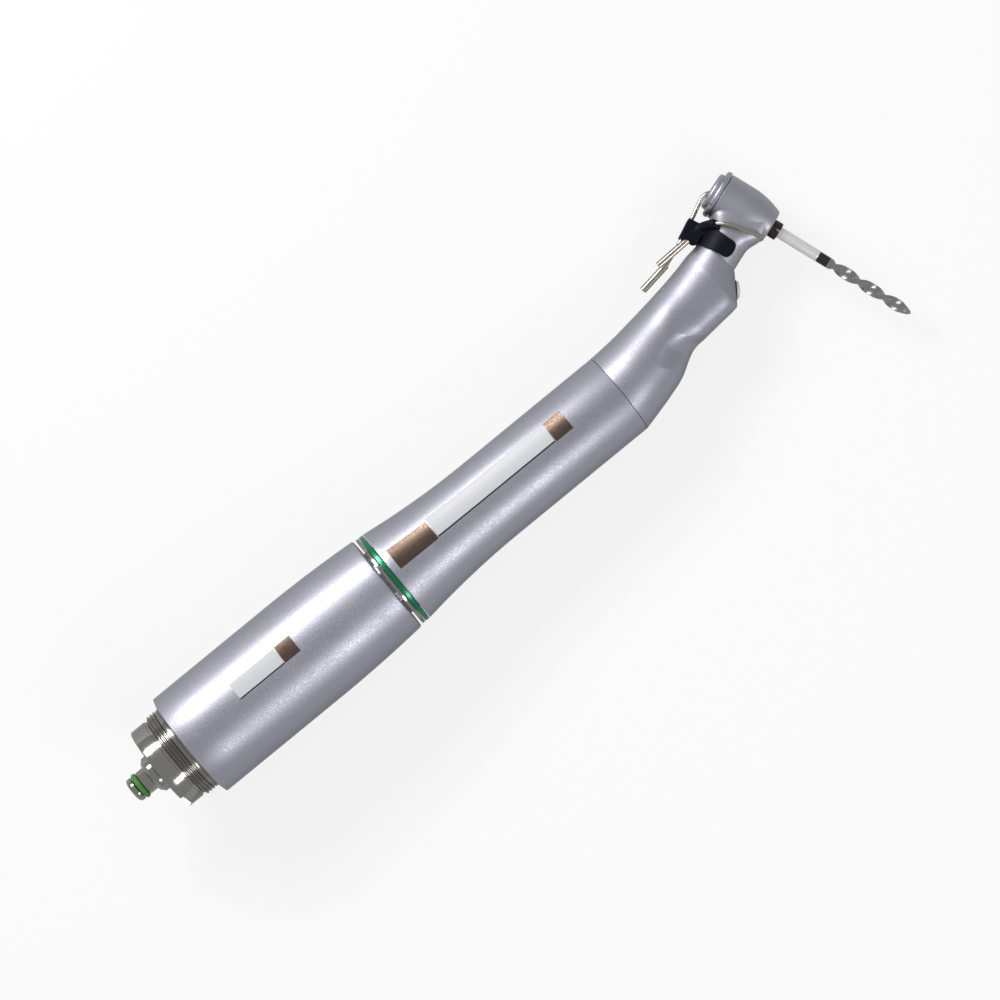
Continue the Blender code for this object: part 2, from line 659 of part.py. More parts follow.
    lamp_radius = light_circle()
    pocket = cylinder("lamp_pocket", NOSE_END - LAMP_LENGTH - SEAT_GAP, NOSE_END + LAMP_LENGTH,
                      LAMP_RADIUS + FINE_GAP, finish["steel"], frame, 16,
                      (0.0, -lamp_radius, 0.0))
    change(nose, pocket, "DIFFERENCE")
    piece("led_lamp", turned([
        (NOSE_END - LAMP_LENGTH, 0.0), (NOSE_END - LAMP_LENGTH, LAMP_RADIUS),
        (NOSE_END - LAMP_RADIUS * 0.6, LAMP_RADIUS), (NOSE_END - LAMP_RADIUS * 0.15,
                                                      LAMP_RADIUS * 0.6),
        (NOSE_END, 0.0)], 16), finish["lens"], frame, (0.0, -lamp_radius, 0.0))


def light_circle():
    """Distance of the lamp and the light rod from the motor's axis."""
    return (NOSE_BORE + NOSE_RADIUS) / 2


def make_rotor(frame, finish):
    """Motor shaft with its magnet, and the handpiece's input shaft with the first sun."""
    race_inner = SHAFT_RADIUS + FINE_GAP
    stator_end = STATOR_START + STATOR_LENGTH
    winding_inner = (CASING_BORE - SEAT_GAP - STATOR_WALL - FINE_GAP - WINDING_WALL)
    plate_start = COLLAR_PLUG + SEAT_GAP
    shaft_start = plate_start + SEAT_GAP
    dog_start = NOSE_END - LATCH_FROM_FRONT - DOG_LENGTH
    shaft_end = dog_start + DOG_LENGTH
    shaft = cylinder("motor_shaft", shaft_start, shaft_end, SHAFT_RADIUS, finish["steel"],
                     frame)
    slot = block("dog_slot", (dog_start, -SHAFT_RADIUS * 1.3, -DOG_WIDTH / 2 - FINE_GAP),
                 (shaft_end + DOG_LENGTH, SHAFT_RADIUS * 1.3, DOG_WIDTH / 2 + FINE_GAP),
                 finish["steel"], frame)
    change(shaft, slot, "DIFFERENCE")
    piece("rotor_magnet", turned(ring(STATOR_START, stator_end, race_inner,
                                      winding_inner - AIR_GAP), INNER_ROUND),
          finish["dark_steel"], frame)

    stages = stage_places()
    body_start = shaft_end + FINE_GAP
    sun_start = stages["planets"][0] - FINE_GAP
    input_shaft = piece("input_shaft_with_sun_gear", turned([
        (body_start, 0.0), (body_start, INPUT_SHAFT_RADIUS),
        (stages["input_step"], INPUT_SHAFT_RADIUS), (stages["input_step"], sun_stub_radius()),
        (sun_start + FINE_GAP, sun_stub_radius()), (sun_start + FINE_GAP, 0.0)], SMALL_ROUND),
        finish["steel"], frame)
    change(input_shaft, sun_gear("first_sun_gear", sun_start, finish, frame), "UNION")
    tongue = block("dog_tongue", (dog_start + SEAT_GAP, -INPUT_SHAFT_RADIUS * 0.9,
                                  -DOG_WIDTH / 2),
                   (body_start + DOG_LENGTH / 2, INPUT_SHAFT_RADIUS * 0.9, DOG_WIDTH / 2),
                   finish["steel"], frame)
    change(input_shaft, tongue, "UNION")


def sun_stub_radius():
    """Radius of the shaft stub that runs into a sun gear, just inside its root."""
    return GEAR_MODULE * (SUN_TEETH / 2 - DEDENDUM) - FINE_GAP / 4


def sun_gear(name, start, finish, frame):
    """Sun gear's teeth, as long as the planets and a little more at each end."""
    end = start + PLANET_WIDTH + 2 * FINE_GAP
    return toothed_bar(name, start, end, GEAR_MODULE * SUN_TEETH / 2,
                       tooth_corners(SUN_TEETH), finish, frame)


def toothed_bar(name, start, end, pitch_radius, corners, finish, frame, inward=False,
                location=(0, 0, 0), turn_x=0.0):
    """A straight-toothed bar between two places on the X axis."""
    return piece(name, loft([spur_ring(x, pitch_radius, GEAR_MODULE, corners, inward)
                             for x in (start, end)]), finish["steel"], frame,
                 location=location, turn_x=turn_x)


def stage_places():
    """Where the gear stages lie along the motor's axis."""
    wall_start = NOSE_END + LAMP_RADIUS
    wall_end = wall_start + SLEEVE_WALL_LENGTH
    housing = wall_end + SEAT_GAP
    first = housing + HOUSING_LIP
    first_plate = first + PLANET_WIDTH + TOOTH_GAP
    second = first_plate + CARRIER_PLATE + TOOTH_GAP
    second_plate = second + PLANET_WIDTH + TOOTH_GAP
    inner_end = second_plate + CARRIER_PLATE + TOOTH_GAP
    return {"wall": wall_start, "wall_end": wall_end, "housing": housing,
            "input_step": housing + INPUT_STEP, "planets": (first, second),
            "plates": (first_plate, second_plate), "inner_end": inner_end,
            "housing_end": inner_end + HOUSING_NOSE}


def make_gearbox(frame, finish):
    """Both planetary stages: ring gear, planets, carriers and the housing."""
    stages = stage_places()
    ring_radius = GEAR_MODULE * RING_TEETH / 2
    ring_outer = ring_radius + DEDENDUM * GEAR_MODULE + RING_GEAR_WALL
    sun_radius = GEAR_MODULE * SUN_TEETH / 2
    planet_radius = GEAR_MODULE * PLANET_TEETH / 2
    orbit = sun_radius + planet_radius
    housing_bore = ring_outer + FINE_GAP
    housing_outer = HANDLE_BORE - FINE_GAP
    shaft_bore = OUTPUT_SHAFT_RADIUS + FINE_GAP
    housing = piece("gearbox_housing", turned([
        (stages["housing"], housing_bore), (stages["housing"], housing_outer),
        (stages["housing_end"], housing_outer), (stages["housing_end"], shaft_bore),
        (stages["inner_end"], shaft_bore), (stages["inner_end"], housing_bore)], INNER_ROUND),
        finish["aluminium"], frame)
    channel = cylinder("rod_channel_in_housing", stages["housing"] - CUT_OVERRUN,
                       stages["housing_end"] + CUT_OVERRUN, LIGHT_ROD_RADIUS + FINE_GAP,
                       finish["steel"], frame, 12, (0.0, -light_circle(), 0.0))
    change(housing, channel, "DIFFERENCE")

    start = stages["housing"] + FINE_GAP
    end = stages["inner_end"] - FINE_GAP
    ring_gear = cylinder("planetary_ring_gear", start, end, ring_outer, finish["steel"], frame,
                         INNER_ROUND)
    # half a tooth of turn puts a gap in front of each planet's outer tooth
    broach = toothed_bar("ring_gear_broach", start - CUT_OVERRUN, end + CUT_OVERRUN,
                         ring_radius,
                         tooth_corners(RING_TEETH, TAU / RING_TEETH / 2), finish, frame,
                         inward=True)
    change(ring_gear, broach, "DIFFERENCE")

    plate_radius = ring_radius - ADDENDUM * GEAR_MODULE - SEAT_GAP
    for stage in (0, 1):
        near = stages["planets"][stage]
        far = near + PLANET_WIDTH
        plate = stages["plates"][stage]
        plate_end = plate + CARRIER_PLATE
        if stage == 0:
            sun_start = stages["planets"][1] - FINE_GAP
            carrier = piece("first_carrier_with_sun_gear", turned([
                (plate, 0.0), (plate, plate_radius), (plate_end, plate_radius),
                (plate_end, sun_stub_radius()), (sun_start + FINE_GAP, sun_stub_radius()),
                (sun_start + FINE_GAP, 0.0)], SMALL_ROUND), finish["steel"], frame)
            change(carrier, sun_gear("second_sun_gear", sun_start, finish, frame), "UNION")
        else:
            gear_back = BEND_X - BEND_GEAR_DEPTH
            carrier = piece("output_carrier_with_bend_gear", turned([
                (plate, 0.0), (plate, plate_radius), (plate_end, plate_radius),
                (plate_end, OUTPUT_SHAFT_RADIUS), (gear_back + FINE_GAP, OUTPUT_SHAFT_RADIUS),
                (gear_back + FINE_GAP, 0.0)], SMALL_ROUND), finish["steel"], frame)
            change(carrier, bend_gear("rear_bend_gear", BEND_X, 1.0, 0.0, finish, frame),
                   "UNION")
        for n in range(PLANET_COUNT):
            angle = TAU * n / PLANET_COUNT
            place = (0.0, orbit * cos(angle), orbit * sin(angle))
            mark = "%d%s" % (stage + 1, "abc"[n])
            planet = toothed_bar("planet_gear_" + mark, near, far, planet_radius,
                                 tooth_corners(PLANET_TEETH), finish, frame,
                                 location=place, turn_x=angle)
            bore = cylinder("planet_bore_" + mark, near - CUT_OVERRUN, far + CUT_OVERRUN,
                            PLANET_PIN_RADIUS + FINE_GAP / 2, finish["steel"], frame, 10, place)
            change(planet, bore, "DIFFERENCE")
            pin = cylinder("planet_pin_" + mark, near, plate + CARRIER_PLATE / 2,
                           PLANET_PIN_RADIUS, finish["steel"], frame, 10, place)
            change(carrier, pin, "UNION")


def bend_cone():
    """Pitch cone angle of the two equal gears at the bend."""
    return pi / 2 - BEND_ANGLE / 2


def bend_gear(name, apex, side, phase, finish, frame):
    """One of the two crown gears that face each other at the bend. Side is 1 for the
    gear behind the apex and -1 for the one in front of it."""
    module = 2 * BEND_GEAR_RADIUS / BEND_TEETH
    corners = tooth_corners(BEND_TEETH, phase)
    cone = bend_cone()
    distance = BEND_GEAR_RADIUS / sin(cone)
    share = (distance - BEND_FACE) / distance
    back = apex - side * BEND_GEAR_DEPTH
    root = BEND_GEAR_RADIUS - DEDENDUM * module * cos(cone)
    return piece(name, loft([
        plain_ring(back, root, corners),
        bevel_ring(apex, side, BEND_GEAR_RADIUS, cone, module, corners, 1.0),
        bevel_ring(apex, side, BEND_GEAR_RADIUS, cone, module, corners, share),
        plain_ring(apex - side * BEND_GEAR_DEPTH / 2, root * share * 0.8, corners)]),
        finish["steel"], frame)


def make_neck_shaft(neck, finish):
    """Shaft in the neck with a crown gear at the bend and a bevel pinion in the head."""
    pinion_back = HEAD_REACH - HEAD_GEAR_RADIUS - HEAD_GEAR_DEPTH
    shaft = cylinder("neck_shaft", BEND_GEAR_DEPTH - FINE_GAP, pinion_back + FINE_GAP,
                     NECK_SHAFT_RADIUS, finish["steel"], neck, SMALL_ROUND)
    rear = bend_gear("front_bend_gear", 0.0, -1.0, TAU / BEND_TEETH / 2, finish, neck)
    change(shaft, rear, "UNION")
    pinion = head_gear("head_pinion", HEAD_REACH, 1.0, 0.0, finish, neck)
    change(shaft, pinion, "UNION")


def head_gear(name, apex, side, phase, finish, frame):
    """A 45 degree bevel gear, which meets its equal at a right angle."""
    module = 2 * HEAD_GEAR_RADIUS / HEAD_TEETH
    corners = tooth_corners(HEAD_TEETH, phase)
    cone = radians(45.0)
    distance = HEAD_GEAR_RADIUS / sin(cone)
    share = (distance - HEAD_FACE) / distance
    root = HEAD_GEAR_RADIUS - DEDENDUM * module * cos(cone)
    back = apex - side * (HEAD_GEAR_RADIUS + HEAD_GEAR_DEPTH)
    return piece(name, loft([
        plain_ring(back, root, corners),
        bevel_ring(apex, side, HEAD_GEAR_RADIUS, cone, module, corners, 1.0),
        bevel_ring(apex, side, HEAD_GEAR_RADIUS, cone, module, corners, share)]),
        finish["steel"], frame)


# Side outline of the gooseneck in mm, as underside point, top point and half the width
# across. The waist is counted from the split line, along the motor's axis.
WAIST_SECTIONS = [
    ((3.9, -8.2), (5.7, 9.45), 8.9), ((8.0, -7.1), (10.2, 9.95), 8.3),
    ((12.2, -5.7), (14.3, 10.45), 7.6), ((17.2, -2.95), (18.0, 10.95), 6.9)]

# The belly is counted from the shoulder, along the neck
BELLY_SECTIONS = [
    ((-14.15, -6.81), (-9.23, 6.25), 6.4),
    ((-9.76, -7.9), (-5.5, 5.71), 6.0),
    ((-6.25, -8.74), (-3.15, 5.48), 5.7),
    ((-4.85, -8.37), (-2.23, 5.37), 5.4)]


def neck_place():
    """The neck's frame inside the handpiece's frame."""
    return Matrix.Translation((BEND_X, 0, 0)) @ Matrix.Rotation(BEND_ANGLE, 4, "Z")


def gooseneck_sections():
    """Underside point, top point and half width of each section, in metres."""
    split = Matrix.Translation((SPLIT_X, 0, 0))
    shoulder = neck_place() @ Matrix.Translation((SHOULDER_REACH, 0, 0))
    sections = []
    for place, rows in ((split, WAIST_SECTIONS), (shoulder, BELLY_SECTIONS)):
        for under, top, half_width in rows:
            low = place @ Vector((under[0] * MM, under[1] * MM, 0.0))
            high = place @ Vector((top[0] * MM, top[1] * MM, 0.0))
            sections.append((low, high, half_width * MM))
    return sections


def section_at(rows, station):
    """Low point, high point and half width at a station between the given sections."""
    n = min(int(station), len(rows) - 2)
    share = station - n
    if n == len(rows) - 2:
        return [rows[n][k] + (rows[n + 1][k] - rows[n][k]) * share for k in range(3)]
    before = rows[max(n - 1, 0)]
    after = rows[n + 2]
    return [curve_through(before[k], rows[n][k], rows[n + 1][k], after[k], share)
            for k in range(3)]


def grip_press(station, swing):
    """How far the flank is pressed in for the finger grip. Swing is counted in radians
    from the cap side, stations from the split line, one for each section."""
    flank = eased(swing, radians(90), radians(122)) * eased(pi - swing, 0.0, radians(28))
    rear = 1.9 + 1.05 * eased(swing, radians(88), radians(148))
    valley = 2.8 + 1.2 * eased(swing, radians(88), radians(170))
    front = 3.8 + 1.6 * eased(swing, radians(95), radians(178))
    if station < valley:
        along = (station - rear) / (valley - rear)
    else:
        along = (front - station) / (front - valley)
    return GRIP_DEPTH * flank * max(0.0, along)


def gooseneck_ring(rows, station, angles):
    """Points of one section, full below where the belly is, with the grip pressed in."""
    low, high, half_width = section_at(rows, station)
    middle = (low + high) / 2
    up = (high - low) / 2
    last = len(rows) - 1.0
    full = BELLY_FULLNESS * eased(station, 3.0, 5.0) * (1.0 - eased(station, last - 1.0, last))
    points = []
    for angle in angles:
        swing = angle if angle <= pi else TAU - angle
        power = 2.0 / (2.0 + (full if swing > pi / 2 else 0.0))
        height = cos(swing)
        height = abs(height) ** power * (1.0 if height > 0.0 else -1.0)
        width = half_width * max(0.0, sin(swing)) ** power
        width = max(0.0, width - grip_press(station, swing))
        side = 1.0 if angle <= pi else -1.0
        points.append(middle + up * height + Vector((0, 0, side * width)))
    return points


def make_gooseneck(root, neck, finish):
    """The body that carries the bend, with its bores, light channel and belly."""
    steps = BIG_ROUND
    rings = []
    spigot = HANDLE_BORE - FINE_GAP
    spigot_start = SPLIT_X - SPIGOT_LENGTH
    face = SPLIT_X + FINE_GAP
    angles = [TAU * n / steps for n in range(steps)]
    for x, radius in ((spigot_start, spigot), (face, spigot)):
        rings.append([Vector((x, radius * cos(a), radius * sin(a))) for a in angles])
    to_root = neck_place()
    shoulder = NECK_RADIUS * SHOULDER_FLARE
    rows = [(Vector((face, -HANDLE_RADIUS, 0)), Vector((face, HANDLE_RADIUS, 0)),
             HANDLE_RADIUS)]
    rows += gooseneck_sections()
    rows.append((to_root @ Vector((SHOULDER_REACH, -shoulder, 0)),
                 to_root @ Vector((SHOULDER_REACH, shoulder, 0)), shoulder))
    count = (len(rows) - 1) * RINGS_PER_SECTION
    rings += [gooseneck_ring(rows, n / RINGS_PER_SECTION, angles) for n in range(count + 1)]
    body = piece("gooseneck_sheath", loft(rings), finish["satin"], root)

    gear_room = BEND_GEAR_RADIUS + GEAR_ROOM_GAP
    bush = OUTPUT_SHAFT_RADIUS + FINE_GAP + BUSH_WALL
    shaft_bore = piece("bore_before_bend", turned([
        (spigot_start - CUT_OVERRUN, 0.0), (spigot_start - CUT_OVERRUN, bush + FINE_GAP),
        (BEND_X - GEAR_ROOM_LENGTH, bush + FINE_GAP), (BEND_X - GEAR_ROOM_LENGTH, gear_room),
        (BEND_X + GEAR_ROOM_OVERLAP, gear_room), (BEND_X + GEAR_ROOM_OVERLAP, 0.0)],
        SMALL_ROUND),
        finish["steel"], root)
    change(body, shaft_bore, "DIFFERENCE")
    neck_bush = NECK_SHAFT_RADIUS + FINE_GAP + BUSH_WALL + FINE_GAP
    spigot_seat = NECK_RADIUS - NECK_WALL
    neck_bore = piece("bore_after_bend", turned([
        (-GEAR_ROOM_OVERLAP, 0.0), (-GEAR_ROOM_OVERLAP, gear_room),
        (GEAR_ROOM_LENGTH, gear_room), (GEAR_ROOM_LENGTH, neck_bush),
        (SHOULDER_REACH - SPIGOT_LENGTH - SEAT_GAP, neck_bush),
        (SHOULDER_REACH - SPIGOT_LENGTH - SEAT_GAP, spigot_seat),
        (SHOULDER_REACH + CUT_OVERRUN, spigot_seat), (SHOULDER_REACH + CUT_OVERRUN, 0.0)],
        SMALL_ROUND), finish["steel"], neck, turn_x=TAU / SMALL_ROUND / 4)
    change(body, neck_bore, "DIFFERENCE")
    rod_route = light_route()
    channel = tube_mesh("light_channel", rod_route, LIGHT_ROD_RADIUS + FINE_GAP,
                        finish["steel"], root, lengthen=4 * FINE_GAP)
    change(body, channel, "DIFFERENCE")
    pocket = lens_body("lens_pocket", FINE_GAP, finish, root)
    change(body, pocket, "DIFFERENCE")

    near = GEAR_ROOM_LENGTH + SEAT_GAP
    far = near + BEND_BUSH_LENGTH
    piece("bend_bush_rear", turned(ring(BEND_X - far, BEND_X - near,
                                        OUTPUT_SHAFT_RADIUS + FINE_GAP, bush), SMALL_ROUND),
          finish["brass"], root)
    piece("bend_bush_front", turned(ring(near, far, NECK_SHAFT_RADIUS + FINE_GAP,
                                         neck_bush - FINE_GAP), SMALL_ROUND),
          finish["brass"], neck)


def light_route():
    """Route of the light rod, from the lamp to behind the lens in the belly."""
    circle = light_circle()
    start = NOSE_END + SEAT_GAP
    middle, out, along = lens_place()
    end = middle - out * (LENS_DEPTH + 2 * FINE_GAP)
    return [Vector((start, -circle, 0)), Vector((SPLIT_X - SPIGOT_LENGTH * 1.6, -circle, 0)),
            Vector((SPLIT_X, -circle * 0.97, 0)),
            Vector((SPLIT_X + BEND_FROM_SPLIT * 1.135, -circle * 0.748, 0)),
            Vector((BEND_X + SHOULDER_REACH * 0.436, -circle * 0.145, 0)),
            Vector((BEND_X + SHOULDER_REACH * 0.682, circle * 0.023, 0)),
            end - out * LENS_DEPTH - along * LENS_LENGTH * 0.214, end]


def lens_place():
    """Middle of the belly's front face, the way it faces, and the way it runs."""
    low = gooseneck_sections()[-1][0]
    high = neck_place() @ Vector((SHOULDER_REACH, -NECK_RADIUS * SHOULDER_FLARE, 0.0))
    along = (high - low).normalized()
    out = Vector((along.y, -along.x, 0.0))
    return low + along * (LENS_LENGTH * LENS_RISE), out, along


def lens_body(name, room, finish, root):
    """Oval lens with a rounded front, let into the belly. Room widens it to a pocket."""
    back = -LENS_DEPTH - room
    front = LENS_STAND + room * 8
    shape = turned([(back, 0.0), (back, 1.0), (front * 0.35, 1.0), (front * 0.8, 0.8),
                    (front, 0.4), (front, 0.0)], INNER_ROUND)
    middle, out, along = lens_place()
    across = Vector((0.0, 0.0, 1.0))
    reach = along * (LENS_LENGTH / 2 + room)
    side = across * (LENS_WIDTH / 2 + room)
    place = Matrix((
        (out.x, reach.x, side.x, middle.x), (out.y, reach.y, side.y, middle.y),
        (out.z, reach.z, side.z, middle.z), (0, 0, 0, 1)))
    shape.transform(place)
    return piece(name, shape, finish["lens"], root)


def make_light(root, finish):
    """Light rod along the handpiece and the lens that throws its light on the drill."""
    tube_mesh("light_guide_rod", light_route(), LIGHT_ROD_RADIUS, finish["lens"], root)
    lens_body("light_lens", 0.0, finish, root)


def make_handle(frame, finish):
    """Ratio ring, retaining ring, coupling sleeve and the outer handle."""
    for name, start, length, look in (("retaining_ring", BRIGHT_RING_X, BRIGHT_RING_LENGTH,
                                       "polished"),
                                      ("green_ratio_ring", GREEN_RING_X, GREEN_RING_LENGTH,
                                       "green")):
        piece(name, turned(ring(start, start + length, SLEEVE_BORE, RING_RADIUS)),
              finish[look], frame)
    stages = stage_places()
    bush = INPUT_SHAFT_RADIUS + FINE_GAP
    sleeve = piece("coupling_sleeve", turned([
        (HANDLE_X, SLEEVE_BORE), (HANDLE_X, SLEEVE_RADIUS), (stages["wall_end"], SLEEVE_RADIUS),
        (stages["wall_end"], bush), (stages["wall"], bush), (stages["wall"], SLEEVE_BORE)],
        INNER_ROUND), finish["steel"], frame)
    hole = cylinder("rod_hole_in_sleeve", stages["wall"] - CUT_OVERRUN,
                    stages["wall_end"] + CUT_OVERRUN, LIGHT_ROD_RADIUS + FINE_GAP,
                    finish["steel"], frame, 12, (0.0, -light_circle(), 0.0))
    change(sleeve, hole, "DIFFERENCE")
    flare = RING_RADIUS - HANDLE_RADIUS
    outline = [(HANDLE_X, HANDLE_BORE)]
    for n in range(9):
        share = n / 8.0
        outline.append((HANDLE_X + HANDLE_FLARE_LENGTH * share,
                        HANDLE_RADIUS + flare * (1.0 - share) ** 2.0))
    outline += [(SPLIT_X, HANDLE_RADIUS), (SPLIT_X, HANDLE_BORE)]
    piece("handle_sleeve", turned(outline), finish["satin"], frame)


def neck_rings():
    """Rings of the neck: a spigot, a round tube, and a flare that grows into the barrel."""
    seat = NECK_RADIUS - NECK_WALL - FINE_GAP
    shoulder = SHOULDER_REACH + FINE_GAP
    start = HEAD_REACH - BARREL_RADIUS - FLARE_BEFORE_BARREL
    foot = BARREL_BOTTOM - FLARE_INSET
    top = BARREL_TOP - FLARE_INSET
    rows = [(SHOULDER_REACH - SPIGOT_LENGTH, seat, seat, seat), (shoulder, seat, seat, seat),
            (shoulder, NECK_RADIUS, NECK_RADIUS, NECK_RADIUS)]
    for n in range(7):
        share = n / 6.0
        grown = eased(share, 0.0, 1.0)
        rows.append((start + FLARE_LENGTH * share, NECK_RADIUS + (foot - NECK_RADIUS) * grown,
                     NECK_RADIUS + (top - NECK_RADIUS) * grown,
                     NECK_RADIUS - FLARE_NARROWING * share))
    rows.append((HEAD_REACH - FINE_GAP, foot, top, NECK_RADIUS - 2 * FLARE_NARROWING))
    angles = [TAU * n / BIG_ROUND for n in range(BIG_ROUND)]
    return [[Vector((s, (high - low) / 2 + (high + low) / 2 * cos(a), wide * sin(a)))
             for a in angles] for s, low, high, wide in rows]


def make_head(neck, head, finish):
    """Head housing with its neck tube, bearings, cap ring, button and spring."""
    barrel_top = BARREL_TOP
    taper = BARREL_RADIUS - BARREL_FOOT_RADIUS
    outline = [(barrel_top, 0.0), (barrel_top, BARREL_RADIUS),
               (BARREL_STRAIGHT_END, BARREL_RADIUS)]
    for n in range(1, 7):
        share = n / 6.0
        outline.append((BARREL_STRAIGHT_END - (BARREL_BOTTOM - BARREL_FOOT_EDGE) * share,
                        BARREL_RADIUS - (taper - BARREL_FOOT_BEVEL) * share ** 1.8))
    outline += [(-BARREL_BOTTOM, BARREL_FOOT_RADIUS), (-BARREL_BOTTOM, 0.0)]
    housing = piece("head_housing", turned(outline), finish["head"], head)
    change(housing, piece("neck_tube", loft(neck_rings()), finish["head"], neck), "UNION")

    spindle = SHANK_RADIUS + FINE_GAP + SPINDLE_WALL
    race_inner = spindle + FINE_GAP
    upper_outer = outer_race_radius(race_inner, UPPER_RACE_WALL, UPPER_BALL_RADIUS)
    lower_outer = outer_race_radius(race_inner, LOWER_RACE_WALL, LOWER_BALL_RADIUS)
    chamber = upper_outer + FINE_GAP
    cap_bore = BARREL_RADIUS - CAP_THREAD_WALL
    upper_place = HEAD_GEAR_RADIUS + HEAD_GEAR_DEPTH + FINE_GAP
    lower_place = -BARREL_BOTTOM + LOWER_BEARING_LIP
    lower_end = lower_place + HEAD_BEARING_WIDTH + FINE_GAP
    upper_end = upper_place + HEAD_BEARING_WIDTH + SEAT_GAP
    cavity = piece("head_cavity", turned([
        (barrel_top + CUT_OVERRUN, 0.0), (barrel_top + CUT_OVERRUN, cap_bore),
        (upper_end, cap_bore), (upper_end, chamber), (lower_end, chamber),
        (lower_end, lower_outer + FINE_GAP), (lower_place - FINE_GAP, lower_outer + FINE_GAP),
        (lower_place - FINE_GAP, BARREL_MOUTH_RADIUS),
        (-BARREL_BOTTOM - CUT_OVERRUN, BARREL_MOUTH_RADIUS),
        (-BARREL_BOTTOM - CUT_OVERRUN, 0.0)], INNER_ROUND), finish["steel"], head)
    change(housing, cavity, "DIFFERENCE")
    pinion_room = NECK_RADIUS - NECK_WALL
    narrow = pinion_room - FINE_GAP - NECK_WALL
    bush_place = HEAD_REACH - NECK_BUSH_FROM_HEAD
    neck_bore = piece("neck_bore", turned([
        (SHOULDER_REACH - SPIGOT_LENGTH - CUT_OVERRUN, 0.0),
        (SHOULDER_REACH - SPIGOT_LENGTH - CUT_OVERRUN, narrow), (bush_place, narrow),
        (bush_place, pinion_room), (HEAD_REACH - BARREL_RADIUS * 0.4, pinion_room),
        (HEAD_REACH - BARREL_RADIUS * 0.4, 0.0)], SMALL_ROUND), finish["steel"], neck)
    change(housing, neck_bore, "DIFFERENCE")
    piece("neck_bush", turned(ring(bush_place + SEAT_GAP,
                                   bush_place + SEAT_GAP + NECK_BUSH_LENGTH,
                                   NECK_SHAFT_RADIUS + FINE_GAP, pinion_room - FINE_GAP),
                              SMALL_ROUND), finish["brass"], neck)
    open_bearing("head_upper_bearing", upper_place, race_inner, UPPER_RACE_WALL,
                 UPPER_BALL_RADIUS, finish, head)
    open_bearing("head_lower_bearing", lower_place, race_inner, LOWER_RACE_WALL,
                 LOWER_BALL_RADIUS, finish, head)

    cap_low = barrel_top + FINE_GAP
    cap_high = cap_low + CAP_RING_HEIGHT
    skirt_outer = cap_bore - FINE_GAP
    button_bore = skirt_outer - CAP_SKIRT_WALL
    skirt_low = upper_end + FINE_GAP
    cap = piece("head_cap_ring", turned([
        (skirt_low, button_bore), (cap_high, button_bore),
        (cap_high, CAP_RING_RADIUS - CAP_BEVEL), (cap_high - CAP_BEVEL, CAP_RING_RADIUS),
        (cap_low, CAP_RING_RADIUS), (cap_low, skirt_outer),
        (skirt_low, skirt_outer)]), finish["head"], head)
    for n in range(CAP_NOTCHES):
        angle = CAP_NOTCH_TURN + TAU * n / CAP_NOTCHES
        notch = cylinder("cap_notch_%d" % n, cap_high - 0.65 * CAP_RING_HEIGHT,
                         cap_high + CUT_OVERRUN, CAP_NOTCH_RADIUS, finish["steel"], head, 10,
                         (0.0, CAP_RING_RADIUS * cos(angle), CAP_RING_RADIUS * sin(angle)))
        change(cap, notch, "DIFFERENCE")

    button_top = cap_high + BUTTON_STAND
    button_radius = button_bore - FINE_GAP
    button_low = button_top - BUTTON_THICKNESS - BUTTON_SKIRT
    under_cap = button_top - BUTTON_THICKNESS
    piece("push_button", turned([
        (button_top - BUTTON_FUNNEL_DEPTH, BUTTON_HOLE),
        (button_top, BUTTON_HOLE + BUTTON_FUNNEL_WIDTH),
        (button_top, button_radius - BUTTON_DOME * 1.6),
        (button_top - BUTTON_DOME * 0.3, button_radius - BUTTON_DOME * 0.6),
        (button_top - BUTTON_DOME, button_radius), (button_low, button_radius),
        (button_low, button_radius - BUTTON_WALL), (under_cap, button_radius - BUTTON_WALL),
        (under_cap, BUTTON_HOLE)]), finish["head"], head)
    make_spring(head, finish, upper_end, under_cap, button_radius - BUTTON_WALL)
    return {"button_top": button_top, "spindle": spindle, "upper_end": upper_end}


def make_spring(head, finish, low, high, room):
    """Return spring under the push button, one round wire wound as a helix."""
    radius = room - SPRING_WIRE - SEAT_GAP
    bottom = low + SPRING_WIRE
    top = high - SPRING_WIRE - FINE_GAP
    steps = int(SPRING_TURNS * 11)
    route = []
    for n in range(steps + 1):
        angle = TAU * SPRING_TURNS * n / steps
        height = bottom + (top - bottom) * n / steps
        route.append(Vector((height, radius * cos(angle), radius * sin(angle))))
    tube_mesh("button_return_spring", route, SPRING_WIRE, finish["steel"], head, 1, 1)


